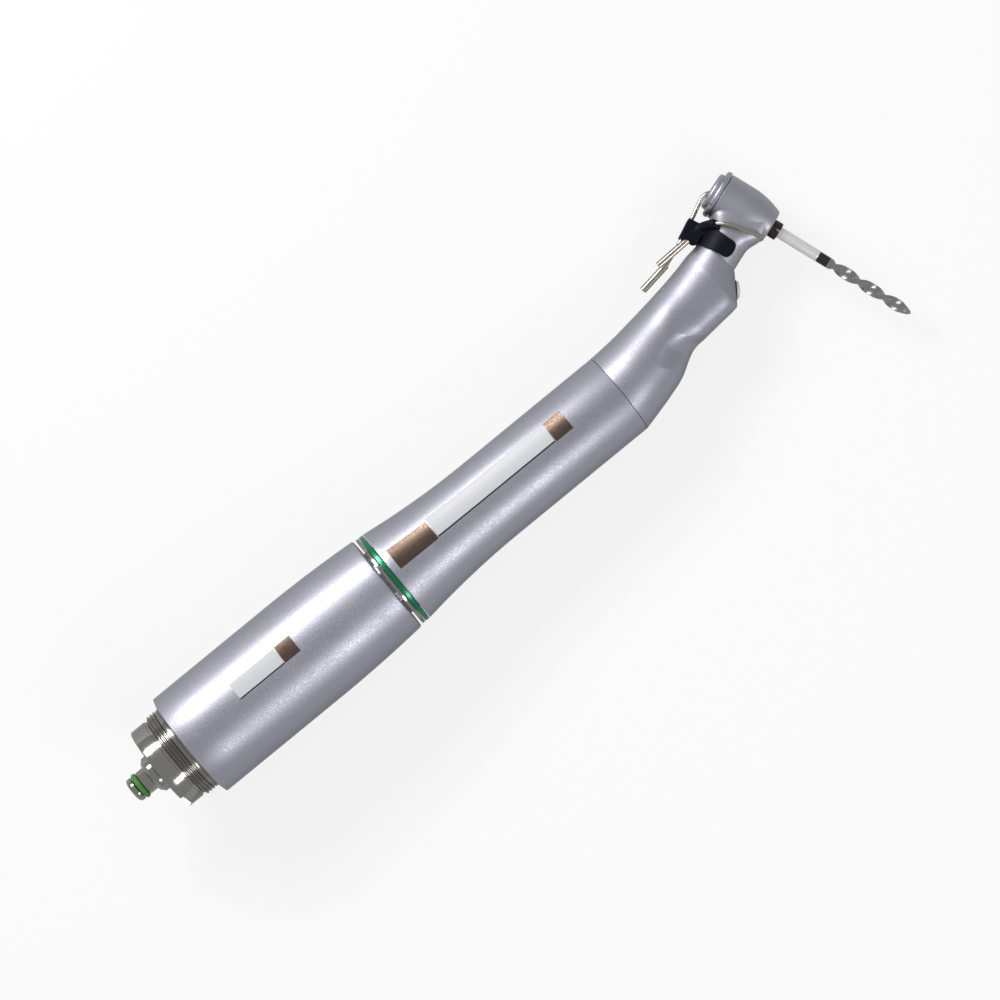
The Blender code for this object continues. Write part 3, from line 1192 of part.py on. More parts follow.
def make_spindle(head, finish):
    """Spindle with its bevel gear, drill latch and chuck collar."""
    bore = SHANK_RADIUS + FINE_GAP / 2
    outer = SHANK_RADIUS + FINE_GAP + SPINDLE_WALL
    low = -BARREL_BOTTOM
    top = HEAD_GEAR_RADIUS + HEAD_GEAR_DEPTH + HEAD_BEARING_WIDTH
    spindle = cylinder("spindle_tube", low, top, outer, finish["steel"], head)
    gear = head_gear("spindle_gear", 0.0, -1.0, TAU / HEAD_TEETH / 2, finish, head)
    change(spindle, gear, "UNION")
    drill_bore = cylinder("drill_bore", low - CUT_OVERRUN, top + CUT_OVERRUN, bore,
                          finish["steel"], head)
    change(spindle, drill_bore, "DIFFERENCE")
    latch_low = top + FINE_GAP
    latch_top = latch_low + LATCH_LENGTH
    latch = piece("drill_latch", turned(ring(latch_low, latch_top, bore, outer), SMALL_ROUND),
                  finish["dark_steel"], head)
    slot = block("latch_slot",
                 (latch_low + LATCH_FLOOR, -outer * 1.2, -LATCH_SLOT_WIDTH / 2),
                 (latch_top + CUT_OVERRUN, outer * 1.2, LATCH_SLOT_WIDTH / 2), finish["steel"],
                 head)
    change(latch, slot, "DIFFERENCE")
    collar_outer = SHANK_RADIUS + CHUCK_COLLAR_WALL + FINE_GAP
    collar_top = low - FINE_GAP
    collar_low = collar_top - COLLAR_DROP
    collar = piece("chuck_collar", turned([
        (collar_low, bore), (collar_low, collar_outer - COLLAR_BEVEL),
        (collar_low + COLLAR_BEVEL, collar_outer), (collar_top, collar_outer),
        (collar_top, bore)], SMALL_ROUND), finish["black_steel"], head)
    slot = block("collar_slot", (collar_low - CUT_OVERRUN, -COLLAR_SLOT_WIDTH / 2, 0.0),
                 (collar_low + COLLAR_SLOT_DEPTH, COLLAR_SLOT_WIDTH / 2, collar_outer * 1.3),
                 finish["steel"], head)
    change(collar, slot, "DIFFERENCE")


def make_drill(head, finish):
    """Twist drill: latch shank with its flat, marked band, two flutes and a point."""
    top = HEAD_GEAR_RADIUS + HEAD_GEAR_DEPTH + HEAD_BEARING_WIDTH + SHANK_TOP
    side_count = 16
    rings = []

    def circle(x, radius):
        return [Vector((x, radius * cos(TAU * n / side_count), radius
                        * sin(TAU * n / side_count))) for n in range(side_count)]

    band_radius = SHANK_RADIUS * 0.94
    rings += [circle(top, SHANK_RADIUS * 0.85), circle(top - SHANK_BEVEL, SHANK_RADIUS),
              circle(-SHANK_END, SHANK_RADIUS), circle(-SHANK_END - BAND_STEP, band_radius)]
    point_length = FLUTE_RADIUS / tan(POINT_ANGLE)
    flute_end = -DRILL_TIP + point_length
    start = -FLUTE_START + FLUTE_RUNOUT
    section_count = 28
    for n in range(section_count + 1):
        x = start + (flute_end - start) * n / section_count
        depth = FLUTE_DEPTH * eased(start - x, 0.0, FLUTE_RUNOUT)
        radius = band_radius + (FLUTE_RADIUS - band_radius) * eased(start - x, 0.0,
                                                                    2 * FLUTE_RUNOUT)
        rings.append(flute_section(x, radius, depth, side_count))
    for share in (0.5, 0.92):
        x = flute_end - point_length * share
        rings.append(flute_section(x, FLUTE_RADIUS * (1.0 - share), FLUTE_DEPTH, side_count))
    drill = piece("twist_drill", loft(rings), finish["drill"], head)
    flat = block("shank_flat", (top - FLAT_LENGTH, SHANK_RADIUS * 0.45, -SHANK_RADIUS * 1.5),
                 (top + CUT_OVERRUN, SHANK_RADIUS * 2.0, SHANK_RADIUS * 1.5), finish["steel"],
                 head)
    change(drill, flat, "DIFFERENCE")


def flute_section(x, radius, depth, steps):
    """Cross-section of the fluted part, with two scoops that turn along the drill."""
    twist = -TAU * (x + FLUTE_START) / FLUTE_PITCH
    points = []
    for n in range(steps):
        angle = TAU * n / steps
        scoop = max(0.0, cos(2.0 * angle)) ** 0.7
        reach = radius * (1.0 - depth * scoop)
        points.append(Vector((x, reach * cos(angle + twist), reach * sin(angle + twist))))
    return points


def clip_side(outer, finish, neck):
    """Prism of the clip's side view: slanted edges, and legs that end as round tongues."""
    front = CLIP_START + CLIP_LENGTH
    low = -CLIP_LEG + CLIP_CORNER
    side = [(CLIP_START - CLIP_SLANT, outer + CUT_OVERRUN), (front, outer + CUT_OVERRUN)]
    side += [(front - CLIP_SLANT - CLIP_CORNER + CLIP_CORNER * cos(pi / 2 * n / 4),
              low - CLIP_CORNER * sin(pi / 2 * n / 4)) for n in range(5)]
    side += [(CLIP_START + CLIP_CORNER - CLIP_CORNER * sin(pi / 2 * n / 4),
              low - CLIP_CORNER * cos(pi / 2 * n / 4)) for n in range(5)]
    half = outer + CUT_OVERRUN
    return prism("clip_side_view", side, -half, half, finish, neck)


def prism(name, side, low, high, finish, neck):
    """A side outline of (place along the neck, height) extruded across the neck."""
    bm = bmesh.new()
    face = bm.faces.new([bm.verts.new((s, r, low)) for s, r in side])
    extruded = bmesh.ops.extrude_face_region(bm, geom=[face])
    moved = [e for e in extruded["geom"] if isinstance(e, bmesh.types.BMVert)]
    bmesh.ops.translate(bm, vec=(0, 0, high - low), verts=moved)
    return piece(name, bm, finish["black"], neck)


def make_nozzle(neck, finish, button_top):
    """Clip on the neck with the outer spray tube and the inner irrigation tube."""
    inner = NECK_RADIUS + FINE_GAP
    outer = inner + CLIP_WALL
    bm = bmesh.new()
    steps = 16
    back = CLIP_START - CLIP_SLANT
    low = -CLIP_LEG - CUT_OVERRUN
    section = [Vector((back, low, inner))]
    section += [Vector((back, inner * sin(pi * n / steps), inner * cos(pi * n / steps)))
                for n in range(steps + 1)]
    section += [Vector((back, low, -inner)), Vector((back, low, -outer))]
    section += [Vector((back, outer * sin(pi * n / steps), -outer * cos(pi * n / steps)))
                for n in range(steps + 1)]
    section += [Vector((back, low, outer))]
    face = bm.faces.new([bm.verts.new(point) for point in section])
    extruded = bmesh.ops.extrude_face_region(bm, geom=[face])
    moved = [e for e in extruded["geom"] if isinstance(e, bmesh.types.BMVert)]
    bmesh.ops.translate(bm, vec=(CLIP_LENGTH + 2 * CLIP_SLANT, 0, 0), verts=moved)
    clip = piece("nozzle_clip", bm, finish["black"], neck)
    change(clip, clip_side(outer, finish, neck), "INTERSECT")

    lowest = outer - CLIP_WALL * 0.5
    side = [(CLIP_START - CLIP_LENGTH * 0.05, lowest),
            (CLIP_START - CLIP_LENGTH * 0.28, button_top + BUTTON_STAND * 0.36),
            (CLIP_START + CLIP_LENGTH * 0.77, button_top + BUTTON_STAND * 0.71),
            (CLIP_START + CLIP_LENGTH * 0.88, lowest)]
    tab = prism("clip_tab", side, -TAB_LOW_SIDE, TAB_WIDTH - TAB_LOW_SIDE, finish, neck)
    change(clip, tab, "UNION")

    in_clip = CLIP_START - SPRAY_RADIUS * 0.84
    over_clip = outer + TUBE_OVER_CLIP
    stub_top = over_clip + STUB_RISE
    beside_head = BARREL_RADIUS + SPRAY_RADIUS + SEAT_GAP
    size = BARREL_RADIUS
    stub_near = [Vector((in_clip - STUB_NEAR_REACH, stub_top, TUBE_SIDE)),
                 Vector((CLIP_START, over_clip - SPRAY_RADIUS * 0.32, TUBE_SIDE))]
    spray = [Vector((in_clip, over_clip, TUBE_SIDE)),
             Vector((CLIP_START + CLIP_LENGTH * 0.667, over_clip - 2 * SPRAY_RADIUS,
                     TUBE_SIDE * 1.375)),
             Vector((HEAD_REACH - size * 1.2, over_clip - size * 0.55,
                     beside_head - size * 0.28)),
             Vector((HEAD_REACH - size * 0.94, size * 0.24, beside_head - size * 0.04)),
             Vector((HEAD_REACH - size * 0.8, -size * 0.4, beside_head - size * 0.02)),
             Vector((HEAD_REACH - size * 0.66, size * 0.08 - BARREL_BOTTOM,
                     beside_head - size * 0.14))]
    far_side = -TUBE_SIDE * 0.625
    lift = over_clip + STUB_RADIUS * 1.4
    stub_far = [Vector((in_clip - STUB_FAR_REACH, stub_top, far_side)),
                Vector((in_clip - CLIP_LENGTH * 1.57, lift, far_side))]
    head_in = button_top - BUTTON_THICKNESS * 0.95
    thin = [Vector((in_clip - CLIP_LENGTH * 1.667, lift, far_side)),
            Vector((CLIP_START - CLIP_LENGTH * 0.38, lift, far_side * 0.9)),
            Vector((CLIP_START + CLIP_LENGTH * 0.857, lift + STUB_RADIUS * 0.6,
                    far_side * 0.5)),
            Vector((HEAD_REACH - size * 0.5, button_top + IRRIGATION_RADIUS * 1.35,
                    far_side * 0.15)),
            Vector((HEAD_REACH - size * 0.24, button_top + IRRIGATION_RADIUS * 0.62, 0.0)),
            Vector((HEAD_REACH - size * 0.1, button_top - IRRIGATION_RADIUS * 0.6, 0.0)),
            Vector((HEAD_REACH - size * 0.02, button_top - IRRIGATION_RADIUS * 1.9, 0.0)),
            Vector((HEAD_REACH, head_in, 0.0))]
    holder = tube_mesh("spray_tube_holder",
                       [spray[0] + (spray[1] - spray[0]) * 0.3, spray[1],
                        spray[1] + (spray[2] - spray[1]) * 0.7],
                       SPRAY_RADIUS + FINE_GAP + CLIP_HOLDER_WALL, finish["black"], neck)
    change(clip, holder, "UNION")
    for name, stub, route, radius in (
            ("spray_tube", stub_near, spray, SPRAY_RADIUS),
            ("irrigation_tube", stub_far, thin, IRRIGATION_RADIUS)):
        tube = tube_mesh(name, route, radius, finish["tube"], neck)
        socket = tube_mesh(name + "_inlet", stub, STUB_RADIUS, finish["tube"], neck)
        change(tube, socket, "UNION")
        for path, size in ((stub, STUB_RADIUS), (route, radius)):
            room = tube_mesh(name + "_channel", path, size + FINE_GAP, finish["tube"], neck,
                             lengthen=FINE_GAP)
            change(clip, room, "DIFFERENCE")


def rest_pitch():
    """How far the nose drops until the casing and the head's cap ring both touch."""
    cap_x = BEND_X + HEAD_REACH * cos(BEND_ANGLE)
    best = 0.0
    for n in range(7):
        share = n / 6.0
        x = CASING_STRAIGHT + (CASING_LENGTH - CASING_STRAIGHT) * share
        radius = CASING_RADIUS - CASING_NOSE_DROP * share ** 2
        best = max(best, (radius - CAP_RING_RADIUS) / (cap_x - x))
    return atan2(best, 1.0)


def stand_on_table(root):
    """Shift the whole handpiece so that its box stands on the origin."""
    bpy.context.view_layer.update()
    corners = []
    for made in bpy.context.scene.objects:
        if made.type == "MESH" and not made.hide_render:
            corners += [made.matrix_world @ vertex.co for vertex in made.data.vertices]
    low = Vector([min(c[k] for c in corners) for k in range(3)])
    high = Vector([max(c[k] for c in corners) for k in range(3)])
    root.location = (-(low.x + high.x) / 2, -(low.y + high.y) / 2, -low.z)


def main():
    for made in list(bpy.data.objects):
        bpy.data.objects.remove(made)
    finish = {
        "satin": material("blasted_steel", "A9ABB6", 0.45, 0.9),
        "head": material("head_steel", "8F929C", 0.35, 1.0),
        "polished": material("polished_steel", "8D8C86", 0.12, 1.0),
        "steel": material("plain_steel", "9A9A9C", 0.3, 1.0),
        "dark_steel": material("hardened_steel", "55565C", 0.35, 1.0),
        "black_steel": material("blackened_steel", "2B2C33", 0.4, 0.8),
        "drill": material("drill_steel", "B9BABF", 0.18, 1.0),
        "tube": material("tube_steel", "857B72", 0.25, 1.0),
        "aluminium": material("machined_aluminium", "B5B6BA", 0.4, 1.0),
        "brass": material("bearing_bronze", "9C7A3E", 0.35, 1.0),
        "copper": material("varnished_copper", "9A4F25", 0.45, 0.8),
        "gold": material("gold_plating", "C9A24A", 0.2, 1.0),
        "green": material("green_anodising", "0C7A57", 0.3, 0.6),
        "green_rubber": material("green_rubber", "5E8B50", 0.6, 0.0),
        "black": material("black_polymer", "141622", 0.4, 0.0),
        "lens": material("clear_glass", "DCE3E6", 0.08, 0.0),
    }
    root = empty("handpiece_frame")
    root.rotation_euler = (0.0, rest_pitch(), 0.0)
    neck = empty("neck_frame", root, (BEND_X, 0.0, 0.0), BEND_ANGLE)
    head = empty("head_frame", neck, (HEAD_REACH, 0.0, 0.0), pi / 2)
    make_rear_connector(root, finish)
    make_motor(root, finish)
    make_rotor(root, finish)
    make_gearbox(root, finish)
    make_handle(root, finish)
    make_gooseneck(root, neck, finish)
    make_light(root, finish)
    make_neck_shaft(neck, finish)
    places = make_head(neck, head, finish)
    make_spindle(head, finish)
    make_drill(head, finish)
    make_nozzle(neck, finish, places["button_top"])
    stand_on_table(root)


main()
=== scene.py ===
# %% [markdown]
# # A geared dental handpiece on its motor
#
# The object is about 185 mm long: an electric motor, a slim handle with gears inside, a bent
# neck, and a small head that turns a drill. This lesson dresses the moving model of it. The
# hidden gears and bearings stay as they are and only get a finish. What shows is turned,
# bridged or swept again with many more faces, because a metal edge is judged by its highlight.

# %% Load the moving model
import json
import bmesh
import bpy
from math import asin, cos, pi, radians, sin, sqrt
from mathutils import Matrix, Vector


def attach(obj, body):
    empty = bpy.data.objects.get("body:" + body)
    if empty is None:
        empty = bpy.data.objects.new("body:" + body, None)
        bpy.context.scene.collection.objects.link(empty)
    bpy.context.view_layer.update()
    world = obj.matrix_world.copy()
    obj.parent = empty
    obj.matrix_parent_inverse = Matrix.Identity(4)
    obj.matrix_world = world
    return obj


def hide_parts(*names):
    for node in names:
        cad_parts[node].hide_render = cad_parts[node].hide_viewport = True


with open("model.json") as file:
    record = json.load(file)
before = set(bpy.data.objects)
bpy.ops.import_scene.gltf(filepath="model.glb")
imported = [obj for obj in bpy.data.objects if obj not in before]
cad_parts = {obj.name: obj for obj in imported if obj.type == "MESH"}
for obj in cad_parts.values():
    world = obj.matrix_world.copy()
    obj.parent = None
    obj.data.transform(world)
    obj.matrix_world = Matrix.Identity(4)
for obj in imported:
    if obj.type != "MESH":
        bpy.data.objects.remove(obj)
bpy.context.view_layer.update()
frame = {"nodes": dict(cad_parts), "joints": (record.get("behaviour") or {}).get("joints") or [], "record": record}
MM = 0.001
FULL_TURN = 2 * pi

# %% [markdown]
# The handpiece is made round its own axes, so each piece is modelled lying along X and is then
# carried to its place. Three places are enough: the motor and handle share one axis, the neck
# leaves it at an angle, and the head stands across the neck. The joints of the model already
# hold these axes, so they are read from there.

# %% The three axes of the handpiece
joints = {joint["name"]: joint for joint in frame["joints"]}
CASING_LENGTH = 52.2
NECK_JOINT_PLACE = 10.0
forward = Vector(joints["motor_swivel"]["axis"]).normalized()
cap_side = Vector((0.0, 1.0, 0.0))
upward = forward.cross(cap_side)


def place_along(axis, through, distance):
    """A place whose X runs along an axis, with a joint's point this far along it in mm."""
    along = Vector(axis).normalized()
    origin = Vector(through) - along * distance * MM
    across = upward.cross(along)
    columns = (along, across, upward, origin)
    return Matrix([[column[row] for column in columns] for row in range(3)] + [[0, 0, 0, 1]])


MOTOR = place_along(forward, joints["motor_swivel"]["pos_m"], CASING_LENGTH)
NECK = place_along(joints["neck_shaft_spin"]["axis"], joints["neck_shaft_spin"]["pos_m"],
                   NECK_JOINT_PLACE)
HEAD = place_along(joints["spindle_spin"]["axis"], joints["spindle_spin"]["pos_m"], 0.0)
print("casing edge at", tuple(MOTOR.translation), "head at", tuple(HEAD.translation))

# %% [markdown]
# The photograph looks straight down on the plane that the bent handpiece lies in, from about
# 68 cm, with the motor at the lower left. A long lens does that. The axis of the lens meets the
# object left of and below the middle of the picture, which is what a small shift gives.

# %% Camera
PICTURE_TURN = radians(39.33)
CAMERA_HEIGHT = 677.0
LENS_AIM = (58.98, -0.66)
LENS_LENGTH_MM = 119.4
LENS_SHIFT = (0.085, 0.065)
picture_right = MOTOR.to_3x3() @ Vector((cos(PICTURE_TURN), -sin(PICTURE_TURN), 0.0))
picture_up = MOTOR.to_3x3() @ Vector((sin(PICTURE_TURN), cos(PICTURE_TURN), 0.0))
lens_aim = MOTOR @ Vector((LENS_AIM[0] * MM, LENS_AIM[1] * MM, CAMERA_HEIGHT * MM))
camera_data = bpy.data.cameras.new("camera")
camera_data.lens = LENS_LENGTH_MM
camera_data.sensor_width = 36.0
camera_data.shift_x, camera_data.shift_y = LENS_SHIFT
camera_data.clip_end = 20.0
camera = bpy.data.objects.new("camera", camera_data)
columns = (picture_right, picture_up, upward, lens_aim)
camera.matrix_world = Matrix([[c[row] for c in columns] for row in range(3)] + [[0, 0, 0, 1]])
bpy.context.collection.objects.link(camera)
bpy.context.scene.camera = camera
bpy.context.scene.view_settings.view_transform = "Standard"
print("camera stands", round(CAMERA_HEIGHT), "mm above the motor's axis")

# %% [markdown]
# Materials come next. Every one is a few nodes on top of the standard shader. One helper adds
# a node with its settings and links, one turns a six-figure colour code into the linear colour
# that a renderer adds up, and the others make the noise that most of the finishes share.


# %% Helpers for materials
def linear(code):
    """Linear colour of a six-figure hex code, with alpha."""
    parts = [int(code[n:n + 2], 16) / 255 for n in (0, 2, 4)]
    return [c / 12.92 if c < 0.0405 else ((c + 0.055) / 1.055) ** 2.4 for c in parts] + [1.0]


def add_node(tree, kind, inputs=None, **settings):
    """Add a node, set its properties, and set or link its inputs."""
    node = tree.nodes.new("ShaderNode" + kind)
    for name, value in settings.items():
        setattr(node, name, value)
    for name, value in (inputs or {}).items():
        if isinstance(value, bpy.types.NodeSocket):
            tree.links.new(value, node.inputs[name])
        else:
            node.inputs[name].default_value = value
    return node


def new_material(name, colour, roughness, metallic, **sockets):
    """A standard shader with its plain values. Returns the material, tree and shader."""
    made = bpy.data.materials.new(name)
    made.use_nodes = True
    tree = made.node_tree
    shader = tree.nodes["Principled BSDF"]
    shader.inputs["Base Color"].default_value = linear(colour)
    shader.inputs["Roughness"].default_value = roughness
    shader.inputs["Metallic"].default_value = metallic
    for socket, value in sockets.items():
        shader.inputs[socket.replace("_", " ")].default_value = value
    return made, tree, shader


def speckle(tree, grain_mm, detail=2.0):
    """Noise whose grains are this wide, read from the object's own coordinates."""
    place = add_node(tree, "TexCoord")
    return add_node(tree, "TexNoise", {"Vector": place.outputs["Object"],
                                       "Scale": 1.0 / (grain_mm * MM), "Detail": detail})


def spread(tree, source, low, high, from_low=0.3, from_high=0.7):
    """Stretch a noise value to a range of numbers."""
    return add_node(tree, "MapRange", {"Value": source, "From Min": from_low,
                                       "From Max": from_high, "To Min": low, "To Max": high})


# %% [markdown]
# The body is steel blasted with fine beads. Each bead leaves a dent of a tenth of a millimetre,
# so the surface is a mirror broken into grains: highlights are wide and sparkle a little. A
# grain of 0.1 mm is finer than a pixel, so it is drawn at 0.32 mm. Slow stains from handling
# move the roughness a little over several millimetres.


# %% Blasted steel
def blasted(name, colour, roughness, grain_mm, dent):
    """Bright metal broken into fine grains, with slow stains in its roughness."""
    made, tree, shader = new_material(name, colour, roughness, 1.0)
    grain = speckle(tree, grain_mm, 1.0)
    stain = speckle(tree, 9.0, 3.0)
    slow = spread(tree, stain.outputs["Fac"], roughness - 0.03, roughness + 0.04)
    quick = spread(tree, grain.outputs["Fac"], -0.07, 0.07)
    rough = add_node(tree, "Math", {0: slow.outputs["Result"], 1: quick.outputs["Result"]},
                     operation="ADD")
    tree.links.new(rough.outputs["Value"], shader.inputs["Roughness"])
    bump = add_node(tree, "Bump", {"Height": grain.outputs["Fac"], "Strength": dent,
                                   "Distance": 0.02 * MM})
    tree.links.new(bump.outputs["Normal"], shader.inputs["Normal"])
    return made


blasted_steel = blasted("bead_blasted_steel", "B6B7C1", 0.45, 0.32, 0.8)
head_steel = blasted("fine_blasted_steel", "B9BAC2", 0.46, 0.26, 0.4)
print("blasted steel ready")

# %% [markdown]
# Turned and polished steel keeps the lathe's fine rings, a twentieth of a millimetre apart.
# They are drawn as noise squeezed along the axis. The sleeve at the motor's rear and the nipple
# are of this kind, and differ only in how far they are polished. The drill's shank has the same
# rings, but its near-white colour is a painted highlight for its bright reflections, so it is
# only partly a metal.


# %% Turned and polished steel
def turned_steel(name, colour, roughness, ring_mm=0.15, dent=0.15, axis=None, metallic=1.0):
    """Rings across the given axis: the noise changes quickly along it and slowly round it."""
    made, tree, shader = new_material(name, colour, roughness, metallic)
    place = add_node(tree, "TexCoord")
    turn = (axis or MOTOR.col[0].to_3d()).to_track_quat("X", "Z").inverted().to_euler()
    lie = add_node(tree, "Mapping", {"Vector": place.outputs["Object"], "Rotation": turn})
    squeeze = add_node(tree, "Mapping", {"Vector": lie.outputs["Vector"],
                                         "Scale": (1.0, 0.02, 0.02)})
    rings = add_node(tree, "TexNoise", {"Vector": squeeze.outputs["Vector"], "Detail": 2.0,
                                        "Scale": 1.0 / (ring_mm * MM)})
    rough = spread(tree, rings.outputs["Fac"], roughness * 0.7, roughness * 1.3)
    tree.links.new(rough.outputs["Result"], shader.inputs["Roughness"])
    bump = add_node(tree, "Bump", {"Height": rings.outputs["Fac"], "Strength": dent,
                                   "Distance": 0.01 * MM})
    tree.links.new(bump.outputs["Normal"], shader.inputs["Normal"])
    return made


polished_steel = turned_steel("polished_turned_steel", "ABA9A2", 0.13)
thread_steel = turned_steel("cut_thread_steel", "9C9A93", 0.18)
drill_steel = turned_steel("ground_drill_steel", "A9A8A4", 0.3, axis=HEAD.col[0].to_3d())
# The shank's near-white colour is a painted highlight for its bright reflections.
shank_painted_highlight = turned_steel("painted_highlight_shank_metal", "F2F1EE", 0.25, axis=HEAD.col[0].to_3d(),
                           metallic=0.4)
inner_steel = turned_steel("machined_inner_steel", "96979A", 0.3)
hard_steel = turned_steel("hardened_inner_steel", "55565C", 0.35)
chuck_steel = turned_steel("blackened_chuck_steel", "4A453F", 0.3, axis=HEAD.col[0].to_3d())
inner_aluminium = turned_steel("turned_aluminium", "B5B6BA", 0.38)
bush_bronze = turned_steel("sintered_bronze", "9C7A3E", 0.36)
contact_gold = turned_steel("gold_plated_brass", "C9A24A", 0.2)
print("turned steels ready")

# %% [markdown]
# Thin stainless tube is drawn through a die, which leaves it glossy with faint lines along it.
# Its brown-grey tone is the heat tint left by annealing. The ring round the handle is anodised
# aluminium: a clear dyed skin over bright metal, so it is a metal with a thin coat.

# %% Tube, ring, rubber, polymer and glass
tube_steel = blasted("drawn_tube_steel", "BDB6AA", 0.16, 0.8, 0.02)
green_skin, _, _ = new_material("green_anodised_aluminium", "0B7F55", 0.28, 0.75,
                                Coat_Weight=0.6, Coat_Roughness=0.15)


def speckled(name, colour, roughness, grain_mm, dent, **sockets):
    """A non-metal with a fine moulded grain."""
    made, tree, shader = new_material(name, colour, roughness, 0.0, **sockets)
    grain = speckle(tree, grain_mm)
    rough = spread(tree, grain.outputs["Fac"], roughness - 0.06, roughness + 0.06)
    tree.links.new(rough.outputs["Result"], shader.inputs["Roughness"])
    bump = add_node(tree, "Bump", {"Height": grain.outputs["Fac"], "Strength": dent,
                                   "Distance": 0.02 * MM})
    tree.links.new(bump.outputs["Normal"], shader.inputs["Normal"])
    return made


green_rubber = speckled("green_silicone_rubber", "4F8A45", 0.5, 0.3, 0.3, IOR=1.43)
black_polymer = speckled("black_moulded_polymer", "0A0C1A", 0.5, 0.25, 0.1,
                         Specular_IOR_Level=0.16)
copper_winding = speckled("varnished_copper_wire", "9A4F25", 0.35, 0.4, 0.8)
# Near-black painted shade for narrow gaps where shade falls: the handle joint and the lens seat.
painted_gap_shade = speckled("painted_groove_shade", "0D0D10", 0.6, 0.3, 0.2)
clear_glass, _, _ = new_material("clear_glass", "F6F8F9", 0.05, 0.0, Transmission_Weight=0.1,
                                 IOR=1.5)
print("materials made:", len(bpy.data.materials))

# %% [markdown]
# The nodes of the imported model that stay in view, or that show when the drill and the clip are
# taken away, keep their shape and only change their finish. Each one's finish follows what it is
# made of: gears, races and shafts of steel, bushes of bronze, the winding of varnished copper.

# %% Finish for the hidden pieces
finish_of_slot = {
    "blasted_steel": blasted_steel, "head_steel": head_steel, "polished_steel": polished_steel,
    "plain_steel": inner_steel, "hardened_steel": hard_steel, "blackened_steel": chuck_steel,
    "drill_steel": drill_steel, "tube_steel": tube_steel,
    "machined_aluminium": inner_aluminium, "bearing_bronze": bush_bronze,
    "varnished_copper": copper_winding, "gold_plating": contact_gold,
    "green_anodising": green_skin, "green_rubber": green_rubber,
    "black_polymer": black_polymer, "clear_glass": clear_glass}
slot_of_node = {row["node"]: row["material_slot"] for row in frame["record"]["subparts"]}
for name, node in frame["nodes"].items():
    node.data.materials.clear()
    node.data.materials.append(finish_of_slot[slot_of_node[name]])
print("nodes finished:", len(frame["nodes"]))

# %% [markdown]
# Nearly every piece here came off a lathe, so the main tool is an outline spun round the axis.
# A short bevel on each sharp ring catches the light as a real broken edge does. The helper
# below then carries the shape to its place, shades it smooth, and hangs it on its moving body.


# %% Helpers for turned pieces
def spun(outline, steps=96, edge=0.06):
    """Spin (place, radius) points in mm round X, then break edges sharper than 30 degrees."""
    bm = bmesh.new()
    verts = [bm.verts.new((x * MM, r * MM, 0.0)) for x, r in outline]
    hollow = outline[0][1] > 0.0
    ends = verts[1:] + verts[:1] if hollow else verts[1:]
    edges = [bm.edges.new(pair) for pair in zip(verts, ends)]
    bmesh.ops.spin(bm, geom=verts + edges, cent=(0, 0, 0), axis=(1, 0, 0), dvec=(0, 0, 0),
                   angle=FULL_TURN, steps=steps, use_merge=True)
    bmesh.ops.remove_doubles(bm, verts=bm.verts, dist=1e-7)
    bmesh.ops.recalc_face_normals(bm, faces=bm.faces)
    if edge:
        break_edges(bm, edge)
    return bm


def break_edges(bm, width, angle=30.0, segments=2):
    """Bevel the edges that are sharper than an angle."""
    sharp = [e for e in bm.edges if len(e.link_faces) == 2
             and e.calc_face_angle(0.0) > radians(angle)]
    bmesh.ops.bevel(bm, geom=sharp, offset=width * MM, offset_type="OFFSET", segments=segments,
                    profile=0.5, affect="EDGES", clamp_overlap=True, material=-1)


def add_piece(name, bm, place, material, body, *stands_for, slot=None):
    """Carry a shape to its place and hang it on a moving body of the model."""
    bmesh.ops.transform(bm, matrix=place, verts=bm.verts)
    mesh = bpy.data.meshes.new(name)
    bm.to_mesh(mesh)
    bm.free()
    mesh.shade_smooth()
    mesh.set_sharp_from_angle(angle=radians(38.0))
    mesh.materials.append(material)
    made = bpy.data.objects.new(name, mesh)
    bpy.context.collection.objects.link(made)
    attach(made, body)
    if stands_for:
        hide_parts(*stands_for)
    return made


def carve(made, tool, operation="DIFFERENCE"):
    """Cut a bmesh tool, already in place, out of a finished piece, and keep only the result."""
    mesh = bpy.data.meshes.new("tool")
    bmesh.ops.recalc_face_normals(tool, faces=tool.faces)
    tool.to_mesh(mesh)
    tool.free()
    cutter = bpy.data.objects.new("tool", mesh)
    bpy.context.collection.objects.link(cutter)
    boolean = made.modifiers.new("cut", "BOOLEAN")
    boolean.operation = operation
    boolean.solver = "EXACT"
    boolean.object = cutter
    bpy.context.view_layer.update()
    ready = made.evaluated_get(bpy.context.evaluated_depsgraph_get())
    made.data = bpy.data.meshes.new_from_object(ready)
    made.modifiers.clear()
    bpy.data.objects.remove(cutter)
    made.data.shade_smooth()
    made.data.set_sharp_from_angle(angle=radians(38.0))


# %% [markdown]
# ## The motor's rear
# A hose screws on here. The collar carries three ridges of fine thread, 0.75 mm apart, and a
# plain band. Inside it sits a polished skirt with a key notch, and through its middle comes the
# air nipple with a green rubber ring. All are outlines on one axis, so all are spun.

# %% Threaded collar
THREAD_PITCH = 0.75
thread = [(-3.4, 8.95), (-3.4, 9.6)]
for ridge in range(3):
    start = -3.3 + ridge * THREAD_PITCH
    thread += [(start, 9.55), (start + 0.2, 9.98), (start + 0.38, 9.98), (start + 0.6, 9.55)]
thread += [(-0.95, 9.55), (-0.95, 9.9), (-0.35, 9.9), (-0.35, 9.6), (-0.2, 9.6), (-0.2, 10.4),
           (4.0, 10.4), (4.0, 8.95)]
add_piece("threaded_collar", spun(thread, edge=0.04), MOTOR, thread_steel, "motor",
          "threaded_rear_collar")
print("collar outline points:", len(thread))

